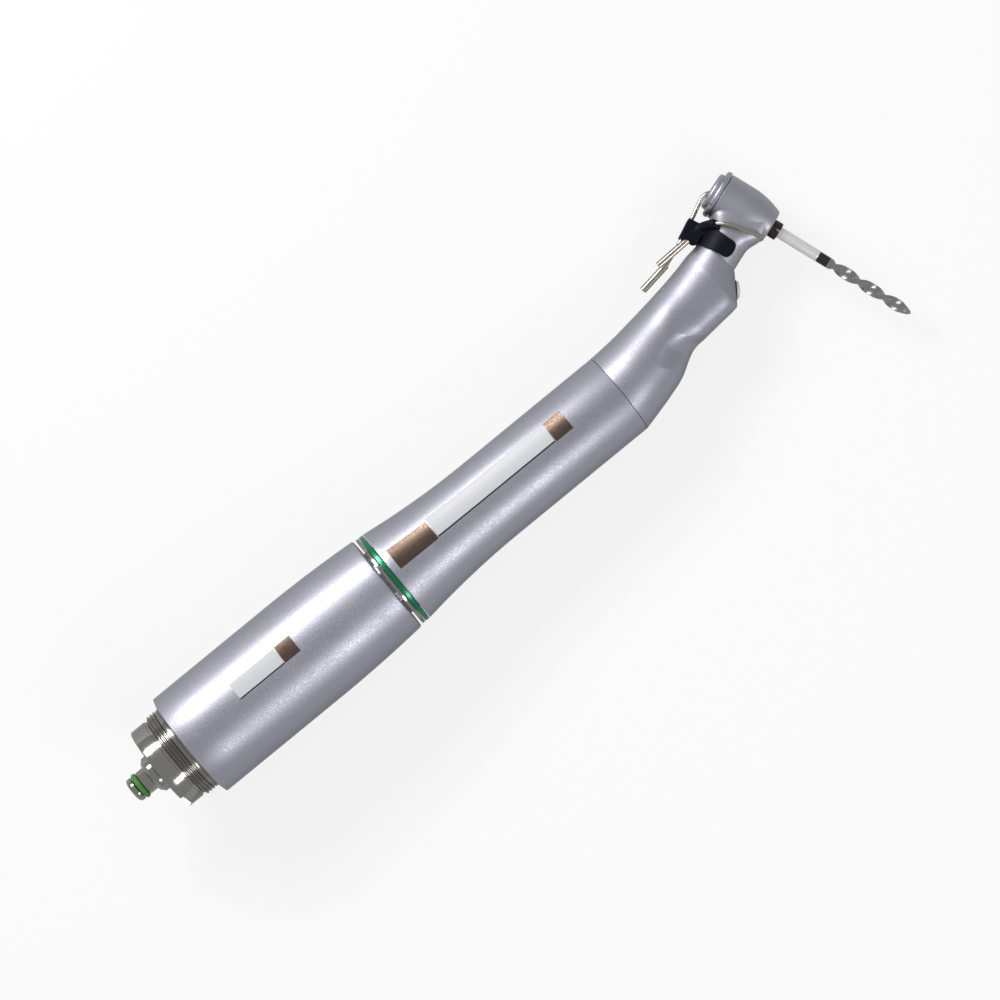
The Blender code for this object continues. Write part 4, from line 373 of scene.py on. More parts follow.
# %% Keyed skirt
NOTCH_TURN = radians(-28)
skirt = [(-7.7, 7.92), (-7.7, 9.35), (-7.5, 9.58), (-4.15, 9.58), (-4.15, 9.3), (-3.6, 9.3),
         (-3.6, 8.68), (3.95, 8.68), (3.95, 7.92)]
keyed_skirt = add_piece("keyed_skirt", spun(skirt), MOTOR, polished_steel, "motor",
                        "keyed_connector_skirt")
notch = bmesh.new()
bmesh.ops.create_cube(notch, size=1.0)
bmesh.ops.scale(notch, vec=Vector((2.0, 3.0, 4.4)) * MM, verts=notch.verts)
bmesh.ops.translate(notch, vec=Vector((-7.95, -9.0, 0.0)) * MM, verts=notch.verts)
bmesh.ops.transform(notch, matrix=MOTOR @ Matrix.Rotation(NOTCH_TURN, 4, "X"),
                    verts=notch.verts)
carve(keyed_skirt, notch)
print("skirt faces after the notch:", len(keyed_skirt.data.polygons))

# %% Air nipple and its ring
nipple = [(-14.9, 1.1), (-14.9, 1.95), (-14.75, 2.35), (-14.45, 2.6), (-14.2, 2.65),
          (-13.62, 2.65), (-13.62, 1.72), (-12.08, 1.72), (-12.08, 2.65), (-10.2, 2.65),
          (-10.2, 3.3), (-9.35, 4.18), (-8.05, 4.18), (-8.05, 2.65), (-0.15, 2.65),
          (-0.15, 1.1)]
add_piece("air_nipple_turned", spun(nipple, 72), MOTOR, polished_steel, "motor", "air_nipple")


def rubber_ring(place, middle, wire, steps=72):
    """A round ring: a circle of the wire's size spun round the axis."""
    bm = bmesh.new()
    made = bmesh.ops.create_circle(bm, segments=20, radius=wire * MM)
    bmesh.ops.translate(bm, vec=(place * MM, middle * MM, 0.0), verts=made["verts"])
    bmesh.ops.spin(bm, geom=bm.verts[:] + bm.edges[:], cent=(0, 0, 0), axis=(1, 0, 0),
                   dvec=(0, 0, 0), angle=FULL_TURN, steps=steps, use_merge=True)
    bmesh.ops.remove_doubles(bm, verts=bm.verts, dist=1e-7)
    bmesh.ops.recalc_face_normals(bm, faces=bm.faces)
    return bm


add_piece("nipple_rubber_ring", rubber_ring(-12.85, 2.32, 0.6), MOTOR, green_rubber, "motor",
          "nipple_o_ring")
print("rear connector made")

# %% [markdown]
# ## The motor casing
# One long shell, straight for 30 mm and then drawn in a little towards the handle. The curve is
# gentle, so the outline has many short steps and no bevel between them: smooth shading does it.


# %% Casing
CASING_RADIUS = 12.0
TAPER_START = 30.0
TAPER_LENGTH = 21.9
TAPER_DEPTH = 0.83


def eased(start, end, low, high, power, count):
    """Points that run from one radius to another along a power curve."""
    points = []
    for n in range(1, count + 1):
        share = n / count
        points.append((start + (end - start) * share, low + (high - low) * share ** power))
    return points


casing = [(0.0, 10.62), (0.05, 11.2), (0.3, CASING_RADIUS), (6.0, CASING_RADIUS),
          (TAPER_START, CASING_RADIUS)]
casing += eased(TAPER_START, TAPER_START + TAPER_LENGTH, CASING_RADIUS,
                CASING_RADIUS - TAPER_DEPTH, 2.0, 20)
casing += [(52.2, 10.85), (52.2, 8.52), (50.8, 8.52), (50.8, 9.72), (41.1, 10.38),
           (30.0, 10.58)]
add_piece("casing_shell", spun(casing, 128), MOTOR, blasted_steel, "motor", "motor_casing")
print("casing outline points:", len(casing))

# %% [markdown]
# ## Rings and handle
# A bright ring and a green ring close the joint on which the handpiece turns. The handle starts
# as wide as they are and narrows over 25 mm to the grip, which stays straight to its end.

# %% Rings and handle sleeve
RING_RADIUS = 10.88
bright = [(52.7, 7.85), (52.7, RING_RADIUS), (53.4, RING_RADIUS), (53.4, 7.85)]
green = [(53.52, 7.85), (53.52, RING_RADIUS), (54.5, RING_RADIUS), (54.5, 7.85)]
add_piece("bright_ring", spun(bright, 128), MOTOR, polished_steel, "handpiece",
          "retaining_ring")
add_piece("green_ring", spun(green, 128), MOTOR, green_skin, "handpiece", "green_ratio_ring")
HANDLE_START = 54.64
HANDLE_END = 113.24
HANDLE_RADIUS = 9.14
FLARE_LENGTH = 25.0
handle = [(HANDLE_START, 8.5), (HANDLE_START, 10.86)]
for n in range(1, 25):
    share = n / 24
    handle.append((HANDLE_START + FLARE_LENGTH * share,
                   HANDLE_RADIUS + (RING_RADIUS - HANDLE_RADIUS) * (1 - share) ** 2))
handle += [(HANDLE_END - 0.02, HANDLE_RADIUS), (HANDLE_END - 0.02, 8.5)]
add_piece("handle_shell", spun(handle, 128), MOTOR, blasted_steel, "handpiece",
          "handle_sleeve")
print("turned shells made")

# %% [markdown]
# ## Plates on the shells
# Makers put their name and the ratio on thin plates that follow the round shell. Here they stay
# bare. Each is a thin outline that stands 0.02 mm proud of the shell, spun part of the way round.

# %% Plate materials
light_plate = speckled("silvered_plate", "D2D3D6", 0.4, 0.3, 0.03, IOR=1.5)
bronze_plate = blasted("bronze_plate", "6A5A50", 0.34, 0.35, 0.1)
dark_plate = speckled("black_printed_line", "1B1D24", 0.4, 0.3, 0.05)
print("plate finishes ready")


# %% Plates
def shell_radius(x):
    """Radius of the motor casing or of the handle at a place along the axis, in mm."""
    if x < CASING_LENGTH:
        share = max(0.0, (x - TAPER_START) / TAPER_LENGTH)
        return CASING_RADIUS - TAPER_DEPTH * share ** 2
    share = min(1.0, (x - HANDLE_START) / FLARE_LENGTH)
    return HANDLE_RADIUS + (RING_RADIUS - HANDLE_RADIUS) * (1 - share) ** 2


def bent_plate(name, start, end, low, high, material, body, slot_name, stand=0.02):
    """A plate on a shell, from one place to another along it, between two heights in mm."""
    bm = bmesh.new()
    count = 12
    row = [start + (end - start) * n / count for n in range(count + 1)]
    outline = [(x, shell_radius(x) + stand) for x in row]
    outline += [(x, shell_radius(x) - 0.05) for x in reversed(row)]
    verts = [bm.verts.new((x * MM, 0.0, r * MM)) for x, r in outline]
    face = bm.faces.new(verts)
    radius = shell_radius((start + end) / 2)
    first = -asin(low / radius)
    last = -asin(high / radius)
    bmesh.ops.rotate(bm, cent=(0, 0, 0), matrix=Matrix.Rotation(first, 3, "X"), verts=bm.verts)
    bmesh.ops.spin(bm, geom=[face], cent=(0, 0, 0), axis=(1, 0, 0), dvec=(0, 0, 0),
                   angle=last - first, steps=10, use_duplicate=False)
    bmesh.ops.recalc_face_normals(bm, faces=bm.faces)
    return add_piece(name, bm, MOTOR, material, body, slot=slot_name)


bent_plate("motor_plate", 14.9, 26.3, 0.9, 4.4, light_plate, "motor", "blasted_steel")
bent_plate("motor_plate_line", 14.9, 26.3, 0.6, 0.85, dark_plate, "motor", "blasted_steel")
bent_plate("motor_bronze_square", 26.5, 30.4, 0.6, 4.5, bronze_plate, "motor", "blasted_steel")
bent_plate("handle_bronze_plate", 56.3, 66.1, 0.5, 5.0, bronze_plate, "handpiece",
           "blasted_steel")
bent_plate("handle_plate", 66.3, 96.6, 0.95, 5.0, light_plate, "handpiece", "blasted_steel")
bent_plate("handle_plate_line", 66.3, 96.6, 0.62, 0.9, dark_plate, "handpiece", "blasted_steel")
bent_plate("handle_bronze_square", 96.8, 101.2, 0.5, 5.0, bronze_plate, "handpiece",
           "blasted_steel")
print("plates made")

# %% [markdown]
# ## Gooseneck
# The body behind the head bends by 19 degrees. Its outline seen from the side was set out as a
# row of sections, each with an underside point, a top point and a half width. A smooth curve is
# run through them, and one circle after another is stretched to fit and bridged to the last.
# Under the waist both flanks are pressed in, which leaves a grip with two creases.

# %% Sections of the gooseneck
BEND_PLACE = 120.64
BEND_ANGLE = radians(19.0)
SHOULDER = 26.4
GRIP_DEPTH = 1.2
BELLY_FULLNESS = 0.9
RIM_BULGE = 0.35
waist = [((0.1, -9.14), (0.1, 9.14), 9.14), ((3.9, -8.2), (5.7, 9.45), 8.9),
         ((8.0, -7.1), (10.2, 9.95), 8.3), ((12.2, -5.7), (14.3, 10.45), 7.6),
         ((17.2, -2.95), (18.0, 10.95), 6.9)]
belly = [((-14.15, -6.81), (-9.23, 6.25), 6.4), ((-9.76, -7.9), (-5.5, 5.71), 6.0),
         ((-6.25, -8.74), (-3.15, 5.48), 5.7), ((-4.85, -8.37), (-2.23, 5.37), 5.55),
         ((0.0, -4.75), (0.8, 4.75), 4.75)]
to_neck = Matrix.Translation((BEND_PLACE, 0, 0)) @ Matrix.Rotation(BEND_ANGLE, 4, "Z")
sections = []
for base, rows in ((Matrix.Translation((HANDLE_END, 0, 0)), waist),
                   (to_neck @ Matrix.Translation((SHOULDER, 0, 0)), belly)):
    for under, top, half_width in rows:
        low = base @ Vector((*under, 0.0))
        high = base @ Vector((*top, 0.0))
        sections.append((low, high, half_width))
print("sections:", len(sections))


# %% Gooseneck body
def through(points, place, straight_end=True):
    """Value at a place of the smooth curve that runs through a row of values."""
    n = min(int(place), len(points) - 2)
    t = place - n
    if straight_end and n == len(points) - 2:
        return points[n] + (points[n + 1] - points[n]) * t
    a = points[max(n - 1, 0)]
    b = points[n]
    c = points[n + 1]
    d = points[min(n + 2, len(points) - 1)]
    return 0.5 * (2 * b + (c - a) * t + (2 * a - 5 * b + 4 * c - d) * t * t
                  + (3 * b - a - 3 * c + d) * t ** 3)


def step_up(value, start, end):
    """Rises smoothly from 0 to 1 between two values."""
    share = min(1.0, max(0.0, (value - start) / (end - start)))
    return share * share * (3 - 2 * share)


def grip_press(station, swing):
    """How far the flank is pressed in, in mm. Swing is counted from the cap side."""
    flank = step_up(swing, radians(90), radians(122)) * step_up(pi - swing, 0.0, radians(28))
    rear = 1.9 + 1.05 * step_up(swing, radians(88), radians(148))
    front = 3.8 + 1.6 * step_up(swing, radians(95), radians(178))
    valley = front - 0.75
    if station < valley:
        along = (station - rear) / (valley - rear)
    else:
        along = (front - station) / (front - valley)
    return GRIP_DEPTH * flank * max(0.0, along)


def goose_ring(bm, station, steps=160):
    """One circle stretched to a section, full below where the belly is."""
    keel = through([s[0] for s in sections], station)
    soft = through([s[0] for s in sections], station, False)
    high = through([s[1] for s in sections], station, False)
    wide = through([s[2] for s in sections], station, False)
    last = len(sections) - 1
    full = BELLY_FULLNESS * step_up(station, 3.0, 5.0) * (1 - step_up(station, last - 2.5, last))
    made = bmesh.ops.create_circle(bm, segments=steps, radius=1.0)["verts"]
    for n, vert in enumerate(made):
        angle = FULL_TURN * n / steps
        swing = min(angle, FULL_TURN - angle)
        low = soft.lerp(keel, step_up(swing, radians(115), radians(160)))
        power = 2 / (2 + (full if swing > pi / 2 else 0.0))
        height = abs(cos(swing)) ** power * (1 if swing < pi / 2 else -1)
        width = wide * max(0.0, sin(swing)) ** power - grip_press(station, swing)
        side = 1 if angle <= pi else -1
        bulge = RIM_BULGE * step_up(station, last - 0.5, last) * abs(sin(angle))
        vert.co = ((low + high) / 2 + (high - low) / 2 * height
                   + Vector((bulge, 0, side * max(0.0, width)))) * MM
    return [e for e in bm.edges if e.verts[0] in made and e.verts[1] in made]


bm = bmesh.new()
end_station = len(sections) - 1.0
stations = [n / 12 for n in range(int(end_station * 12) + 1)]
loops = [goose_ring(bm, station) for station in stations]
for near, far in zip(loops, loops[1:]):
    bmesh.ops.bridge_loops(bm, edges=near + far)
bmesh.ops.holes_fill(bm, edges=[e for e in bm.edges if e.is_boundary], sides=0)
bmesh.ops.recalc_face_normals(bm, faces=bm.faces)
rims = [e for e in bm.edges if len(e.link_faces) == 2 and e.calc_face_angle(0.0) > radians(50)]
bmesh.ops.bevel(bm, geom=rims, offset=0.16 * MM, offset_type="OFFSET", segments=3, profile=0.5,
                affect="EDGES", clamp_overlap=True)
gooseneck = add_piece("gooseneck_body", bm, MOTOR, blasted_steel, "handpiece",
                      "gooseneck_sheath")
print("gooseneck faces:", len(gooseneck.data.polygons))

# %% Painted shade in the joint between handle and gooseneck
joint_shade_ring = [(112.9, 8.2), (112.9, 9.0), (113.6, 9.0), (113.6, 8.2)]
# A near-black ring under the gap is painted shade for the joint's groove.
add_piece("handle_joint_painted_shade", spun(joint_shade_ring, 96, 0.0), MOTOR, painted_gap_shade, "handpiece",
          slot="blasted_steel")
print("joint line made")

# %% [markdown]
# ## Light
# A glass rod carries the light of the motor's lamp to an oval lens in the belly. The lens stands
# out a little, and the thin seat round it is near-black painted shade.

# %% Lens in the belly
LENS_LENGTH = 4.2
LENS_WIDTH = 3.0
low = sections[-2][0]
high = to_neck @ Vector((SHOULDER, -4.75, 0.0))
along = (high - low).normalized()
out = Vector((along.y, -along.x, 0.0))
lens_middle = (low + along * LENS_LENGTH * 0.62) * MM


def lens_place(length, width):
    """Place that turns a unit disc into the lens's oval. X leads out of the belly."""
    side = Vector((0.0, 0.0, 1.0)) * width / 2
    reach = along * length / 2
    rows = [(out[k], reach[k], side[k], lens_middle[k]) for k in range(3)]
    return MOTOR @ Matrix(rows + [(0, 0, 0, 1)])


def unit_turned(outline, steps=64):
    """Spin an outline whose places are in mm and whose radii are shares of an oval."""
    bm = bmesh.new()
    verts = [bm.verts.new((x * MM, r * MM, 0.0)) for x, r in outline]
    edges = [bm.edges.new(pair) for pair in zip(verts, verts[1:])]
    bmesh.ops.spin(bm, geom=verts + edges, cent=(0, 0, 0), axis=(1, 0, 0), dvec=(0, 0, 0),
                   angle=FULL_TURN, steps=steps, use_merge=True)
    bmesh.ops.remove_doubles(bm, verts=bm.verts, dist=1e-7)
    bmesh.ops.recalc_face_normals(bm, faces=bm.faces)
    return bm


glass = [(-1.2, 0.0), (-1.2, 0.88), (0.3, 0.88), (0.55, 0.82), (0.72, 0.64), (0.82, 0.32),
         (0.84, 0.0)]
seat = [(-0.6, 0.0), (-0.6, 1.0), (0.05, 1.0), (0.14, 0.97), (0.14, 0.93), (0.02, 0.89),
        (0.0, 0.0)]
# The seat's near-black colour is painted shade round the lens.
add_piece("lens_seat_painted_shade", unit_turned(seat), lens_place(LENS_LENGTH, LENS_WIDTH), painted_gap_shade,
          "handpiece", slot="clear_glass")
add_piece("lens_glass", unit_turned(glass), lens_place(LENS_LENGTH, LENS_WIDTH), clear_glass,
          "handpiece", "light_lens")
print("lens made")

# %% [markdown]
# ## Head
# The barrel is turned, and the neck grows into it with a soft blend: it widens towards the cap
# and towards the foot of the barrel before they meet. Both are joined, a recess under the cap
# leaves room for the button to travel, and the whole is filled with small equal faces. The
# faces along the joint are smoothed until the crease is a fillet.


# %% Helpers for equal faces and smoothing
def smooth_over(bm, verts, rounds):
    """Move each vertex towards the middle of its neighbours, a few times over."""
    for _ in range(rounds):
        bmesh.ops.smooth_vert(bm, verts=verts, factor=0.5, use_axis_x=True, use_axis_y=True,
                              use_axis_z=True)


def even_faces(made, size_mm, rounds):
    """Fill a piece with small faces of about this size, then smooth them."""
    remesh = made.modifiers.new("even_faces", "REMESH")
    remesh.mode = "VOXEL"
    remesh.voxel_size = size_mm * MM
    bpy.context.view_layer.update()
    ready = made.evaluated_get(bpy.context.evaluated_depsgraph_get())
    made.data = bpy.data.meshes.new_from_object(ready)
    made.modifiers.clear()
    bm = bmesh.new()
    bm.from_mesh(made.data)
    smooth_over(bm, bm.verts, rounds)
    bm.to_mesh(made.data)
    bm.free()
    made.data.shade_smooth()


# %% Barrel and neck in one
BARREL_FOOT = -6.2
HEAD_FACE_SIZE = 0.11
RECESS_FLOOR = 5.1
RECESS_RADIUS = 4.6
ABOVE_BARREL = 7.0
barrel = [(6.0, 0.0), (6.0, 4.92), (5.92, 5.0), (0.4, 5.0)]
barrel += eased(0.4, -5.7, 5.0, 3.7, 1.8, 14)
barrel += [(-6.1, 3.42), (BARREL_FOOT, 3.25), (BARREL_FOOT, 2.25), (-5.6, 2.25), (-5.6, 0.0)]
neck_rows = [(26.5, -4.4, 4.4, 4.4, 0.0), (29.0, -4.4, 4.4, 4.4, 0.0),
             (31.2, -4.45, 4.45, 4.4, 0.1), (32.2, -4.65, 4.9, 4.4, 0.4),
             (33.2, -5.15, 5.35, 4.4, 1.0), (34.4, -5.75, 5.75, 4.42, 1.8),
             (36.0, -5.95, 5.92, 4.42, 2.4), (38.0, -6.0, 5.95, 4.4, 2.6)]


def oval_ring(bm, place, low, high, half_width, boxy, steps=96):
    """A circle across the X axis, stretched to two heights and a width, squarer if boxy."""
    made = bmesh.ops.create_circle(bm, segments=steps, radius=1.0)["verts"]
    power = 2 / (2 + boxy)
    for n, vert in enumerate(made):
        angle = FULL_TURN * n / steps
        upright = abs(cos(angle)) ** power * (1 if cos(angle) > 0 else -1)
        across = abs(sin(angle)) ** power * (1 if sin(angle) > 0 else -1)
        vert.co = Vector((place, (low + high) / 2 + (high - low) / 2 * upright,
                          half_width * across)) * MM
    return [e for e in bm.edges if e.verts[0] in made and e.verts[1] in made]


def skinned(loops, bm):
    """Bridge a row of loops and close both ends."""
    for near, far in zip(loops, loops[1:]):
        bmesh.ops.bridge_loops(bm, edges=near + far)
    bmesh.ops.holes_fill(bm, edges=[e for e in bm.edges if e.is_boundary], sides=0)
    bmesh.ops.recalc_face_normals(bm, faces=bm.faces)
    return bm


bm = bmesh.new()
neck_skin = skinned([oval_ring(bm, *row) for row in neck_rows], bm)
bmesh.ops.transform(neck_skin, matrix=NECK, verts=neck_skin.verts)
head_shell = add_piece("head_shell", spun(barrel, 96, 0.0), HEAD, head_steel, "handpiece",
                       "head_housing")
carve(head_shell, neck_skin, "UNION")
recess = spun([(RECESS_FLOOR, 0.0), (RECESS_FLOOR, RECESS_RADIUS),
               (ABOVE_BARREL, RECESS_RADIUS), (ABOVE_BARREL, 0.0)], 72, 0.0)
bmesh.ops.transform(recess, matrix=HEAD, verts=recess.verts)
carve(head_shell, recess)
even_faces(head_shell, HEAD_FACE_SIZE, 0)
print("head faces:", len(head_shell.data.polygons))

# %% Fillet between neck and barrel
FILLET_ROUNDS = 24
bm = bmesh.new()
bm.from_mesh(head_shell.data)
to_head = HEAD.inverted()
joint = []
for vert in bm.verts:
    spot = to_head @ vert.co / MM
    if 1.2 < spot.y < 7.2 and -6.0 < spot.x < 5.2:
        joint.append(vert)
smooth_over(bm, bm.verts, 1)
smooth_over(bm, joint, FILLET_ROUNDS)
bm.to_mesh(head_shell.data)
bm.free()
head_shell.data.shade_smooth()
print("vertices smoothed in the fillet:", len(joint))

# %% [markdown]
# The cap ring holds the push button and has five notches for its key. The button has a funnel in
# its middle, where the irrigation tube feeds water through the drill.

# %% Cap ring, button and chuck collar
cap = [(5.19, 4.13), (7.22, 4.13), (7.22, 4.75), (7.12, 4.98), (6.95, 5.12), (6.7, 5.2),
       (6.2, 5.2), (6.12, 5.12), (6.12, 4.53), (5.19, 4.53)]
cap_ring = add_piece("cap_ring", spun(cap, 120, 0.03), HEAD, head_steel, "handpiece",
                     "head_cap_ring")
NOTCHES = 5
for n in range(NOTCHES):
    angle = radians(48.7) + FULL_TURN * n / NOTCHES
    notch = bmesh.new()
    bmesh.ops.create_cone(notch, cap_ends=True, segments=28, radius1=0.62 * MM,
                          radius2=0.62 * MM, depth=3.0 * MM)
    bmesh.ops.rotate(notch, cent=(0, 0, 0), matrix=Matrix.Rotation(pi / 2, 3, "Y"),
                     verts=notch.verts)
    bmesh.ops.translate(notch, vec=Vector((8.0, 5.3 * cos(angle), 5.3 * sin(angle))) * MM,
                        verts=notch.verts)
    bmesh.ops.transform(notch, matrix=HEAD, verts=notch.verts)
    carve(cap_ring, notch)
button = [(6.15, 3.5), (6.15, 4.0), (7.7, 4.0), (7.95, 3.93), (8.15, 3.75), (8.27, 3.5),
          (8.31, 3.2), (8.32, 1.82), (7.42, 0.62), (7.02, 0.62), (7.02, 3.5)]
add_piece("button_cap", spun(button, 96, 0.03), HEAD, head_steel, "button", "push_button")
collar = [(-8.12, 1.24), (-8.12, 1.74), (-7.97, 1.89), (-6.34, 1.89), (-6.34, 1.24)]
chuck = add_piece("chuck_collar_turned", spun(collar, 64, 0.04), HEAD, chuck_steel, "spindle",
                  "chuck_collar")
slot = bmesh.new()
bmesh.ops.create_cube(slot, size=1.0)
bmesh.ops.scale(slot, vec=Vector((1.6, 0.4, 2.4)) * MM, verts=slot.verts)
bmesh.ops.translate(slot, vec=Vector((-8.12, 0.0, 1.3)) * MM, verts=slot.verts)
bmesh.ops.transform(slot, matrix=HEAD, verts=slot.verts)
carve(chuck, slot)
print("cap, button and collar made")

# %% [markdown]
# ## Drill
# A twist drill with two flutes that make one turn in 12 mm. Its cutting part is a row of
# sections again: round where it starts, then scooped on two sides to a thin web and turned a bit
# further at each step, and drawn to a point at the end. The shank and the dark band are spun.

# %% Twist drill
SHANK_RADIUS = 1.175
FLUTE_START = -21.6
FLUTE_PITCH = 12.0
FLUTE_END = -39.0
DRILL_TIP = -39.75
WEB_HALF = 0.42
BAR_RADIUS = 1.11
CUT_PLACE = 20.4
LAND_GROWTH = 0.14
TIP_SHRINK = 0.4


def drill_ring(bm, place, radius, depth, steps=64):
    """Section of the drill: a round bar at depth 0, a thin web with two lands at depth 1."""
    twist = -FULL_TURN * (place - FLUTE_START) / FLUTE_PITCH
    made = bmesh.ops.create_circle(bm, segments=steps, radius=1.0)["verts"]
    for n, vert in enumerate(made):
        angle = FULL_TURN * n / steps
        web = min(radius, WEB_HALF / max(0.01, abs(cos(angle)) ** 1.4))
        reach = radius + (web - radius) * depth
        vert.co = Vector((place, reach * cos(angle + twist), reach * sin(angle + twist))) * MM
    return [e for e in bm.edges if e.verts[0] in made and e.verts[1] in made]


bm = bmesh.new()
loops = [drill_ring(bm, place, BAR_RADIUS, 0.0) for place in (-17.2, -17.46, -20.3)]
FLUTE_STEPS = 110
for n in range(FLUTE_STEPS + 1):
    place = -CUT_PLACE + (FLUTE_END + CUT_PLACE) * n / FLUTE_STEPS
    grown = step_up(-place, CUT_PLACE, 22.6)
    tip = step_up(-place, -FLUTE_END - 2.5, -FLUTE_END)
    loops.append(drill_ring(bm, place, BAR_RADIUS + LAND_GROWTH * grown - TIP_SHRINK * tip,
                            step_up(-place, CUT_PLACE, 21.9)))
for share in (0.25, 0.5, 0.75, 0.96):
    loops.append(drill_ring(bm, FLUTE_END + (DRILL_TIP - FLUTE_END) * share,
                            0.85 * (1 - share), 1.0))
drill_skin = skinned(loops, bm)
add_piece("fluted_drill", drill_skin, HEAD, drill_steel, "drill", "twist_drill")
shank = [(5.25, 0.0), (5.25, 1.0), (5.05, SHANK_RADIUS), (-17.3, SHANK_RADIUS),
         (-17.45, BAR_RADIUS), (-17.45, 0.0)]
add_piece("drill_shank", spun(shank, 64, 0.0), HEAD, shank_painted_highlight, "drill", slot="drill_steel")
band_steel = turned_steel("laser_darkened_steel", "4C4A47", 0.3, axis=HEAD.col[0].to_3d())
band = [(-19.9, 1.0), (-19.9, 1.125), (-17.46, 1.125), (-17.46, 1.0)]
add_piece("drill_band", spun(band, 48, 0.0), HEAD, band_steel, "drill", slot="drill_steel")
print("drill made")

# %% [markdown]
# ## Clip and tubes
# A black sprung clip sits astride the neck. Its legs end in rounded tongues, and a wedge on its
# crest guides two steel tubes: one sprays along the side of the head onto the drill, the other
# bends into the hole of the button.

# %% Clip
CLIP_INNER = 4.52
CLIP_WALL = 0.7
CLIP_BACK = 27.55
CLIP_FRONT = 31.3
BACK_SLANT = 0.35
FRONT_SLANT = 0.5
LEG_REACH = 2.2
CORNER = 1.3


def clip_grid(bm, rows=56, columns=24):
    """The clip's inner skin: a half pipe with straight legs, as rows from leg to leg."""
    half_round = CLIP_INNER * pi / 2
    total = 2 * (half_round + LEG_REACH)
    grid = []
    for n in range(rows + 1):
        along = total * n / rows
        from_end = min(along, total - along)
        if from_end < LEG_REACH:
            height = from_end - LEG_REACH
            sideways = CLIP_INNER if along < total / 2 else -CLIP_INNER
        else:
            angle = (along - LEG_REACH) / CLIP_INNER
            height = CLIP_INNER * sin(angle)
            sideways = CLIP_INNER * cos(angle)
        inset = 0.0
        if from_end < CORNER:
            inset = CORNER - sqrt(max(0.0, CORNER ** 2 - (CORNER - from_end) ** 2))
        slant = max(0.0, height) / CLIP_INNER
        back = CLIP_BACK - BACK_SLANT * slant + inset
        front = CLIP_FRONT + FRONT_SLANT * slant - inset
        grid.append([bm.verts.new(Vector((back + (front - back) * m / columns, height,
                                          sideways)) * MM) for m in range(columns + 1)])
    for near, far in zip(grid, grid[1:]):
        for m in range(columns):
            bm.faces.new((near[m], near[m + 1], far[m + 1], far[m]))


bm = bmesh.new()
clip_grid(bm)
bmesh.ops.recalc_face_normals(bm, faces=bm.faces)
middle_face = min(bm.faces, key=lambda f: -f.calc_center_median().y)
if middle_face.normal.y < 0.0:
    bmesh.ops.reverse_faces(bm, faces=bm.faces)
bmesh.ops.solidify(bm, geom=bm.faces[:], thickness=-CLIP_WALL * MM)
bmesh.ops.recalc_face_normals(bm, faces=bm.faces)
clip = add_piece("clip_moulding", bm, NECK, black_polymer, "nozzle", "nozzle_clip")
print("clip band faces:", len(clip.data.polygons))

# %% Wedge and tube holder joined to the clip
WEDGE_LOW = -1.9
WEDGE_WIDTH = 4.6
CLIP_FACE_SIZE = 0.08
CLIP_ROUNDS = 8
wedge = bmesh.new()
profile = [(27.4, 4.9), (26.45, 8.72), (30.85, 9.1), (31.0, 6.9), (31.3, 5.9), (31.8, 5.2),
           (31.8, 4.9)]
face = wedge.faces.new([wedge.verts.new(Vector((x, y, WEDGE_LOW)) * MM) for x, y in profile])
grown = bmesh.ops.extrude_face_region(wedge, geom=[face])
moved = [e for e in grown["geom"] if isinstance(e, bmesh.types.BMVert)]
bmesh.ops.translate(wedge, vec=(0, 0, WEDGE_WIDTH * MM), verts=moved)
bmesh.ops.transform(wedge, matrix=NECK, verts=wedge.verts)
carve(clip, wedge, "UNION")
holder_route = [Vector(p) for p in ((27.5, 6.9, 1.6), (30.4, 5.97, 2.2), (32.15, 4.3, 4.15))]
holder = bmesh.new()
for n in range(25):
    middle = through(holder_route, n / 12, False)
    ball = bmesh.ops.create_icosphere(holder, subdivisions=3, radius=1.0 * MM)
    bmesh.ops.translate(holder, vec=middle * MM, verts=ball["verts"])
    under = Vector((middle.x, middle.y * 0.86, middle.z * 0.86))
    ball = bmesh.ops.create_icosphere(holder, subdivisions=3, radius=1.1 * MM)
    bmesh.ops.translate(holder, vec=under * MM, verts=ball["verts"])
bmesh.ops.transform(holder, matrix=NECK, verts=holder.verts)
merged = bpy.data.meshes.new("balls")
holder.to_mesh(merged)
holder.free()
bm = bmesh.new()
bm.from_mesh(clip.data)
bm.from_mesh(merged)
bm.to_mesh(clip.data)
bm.free()
even_faces(clip, CLIP_FACE_SIZE, CLIP_ROUNDS)
print("clip faces:", len(clip.data.polygons))


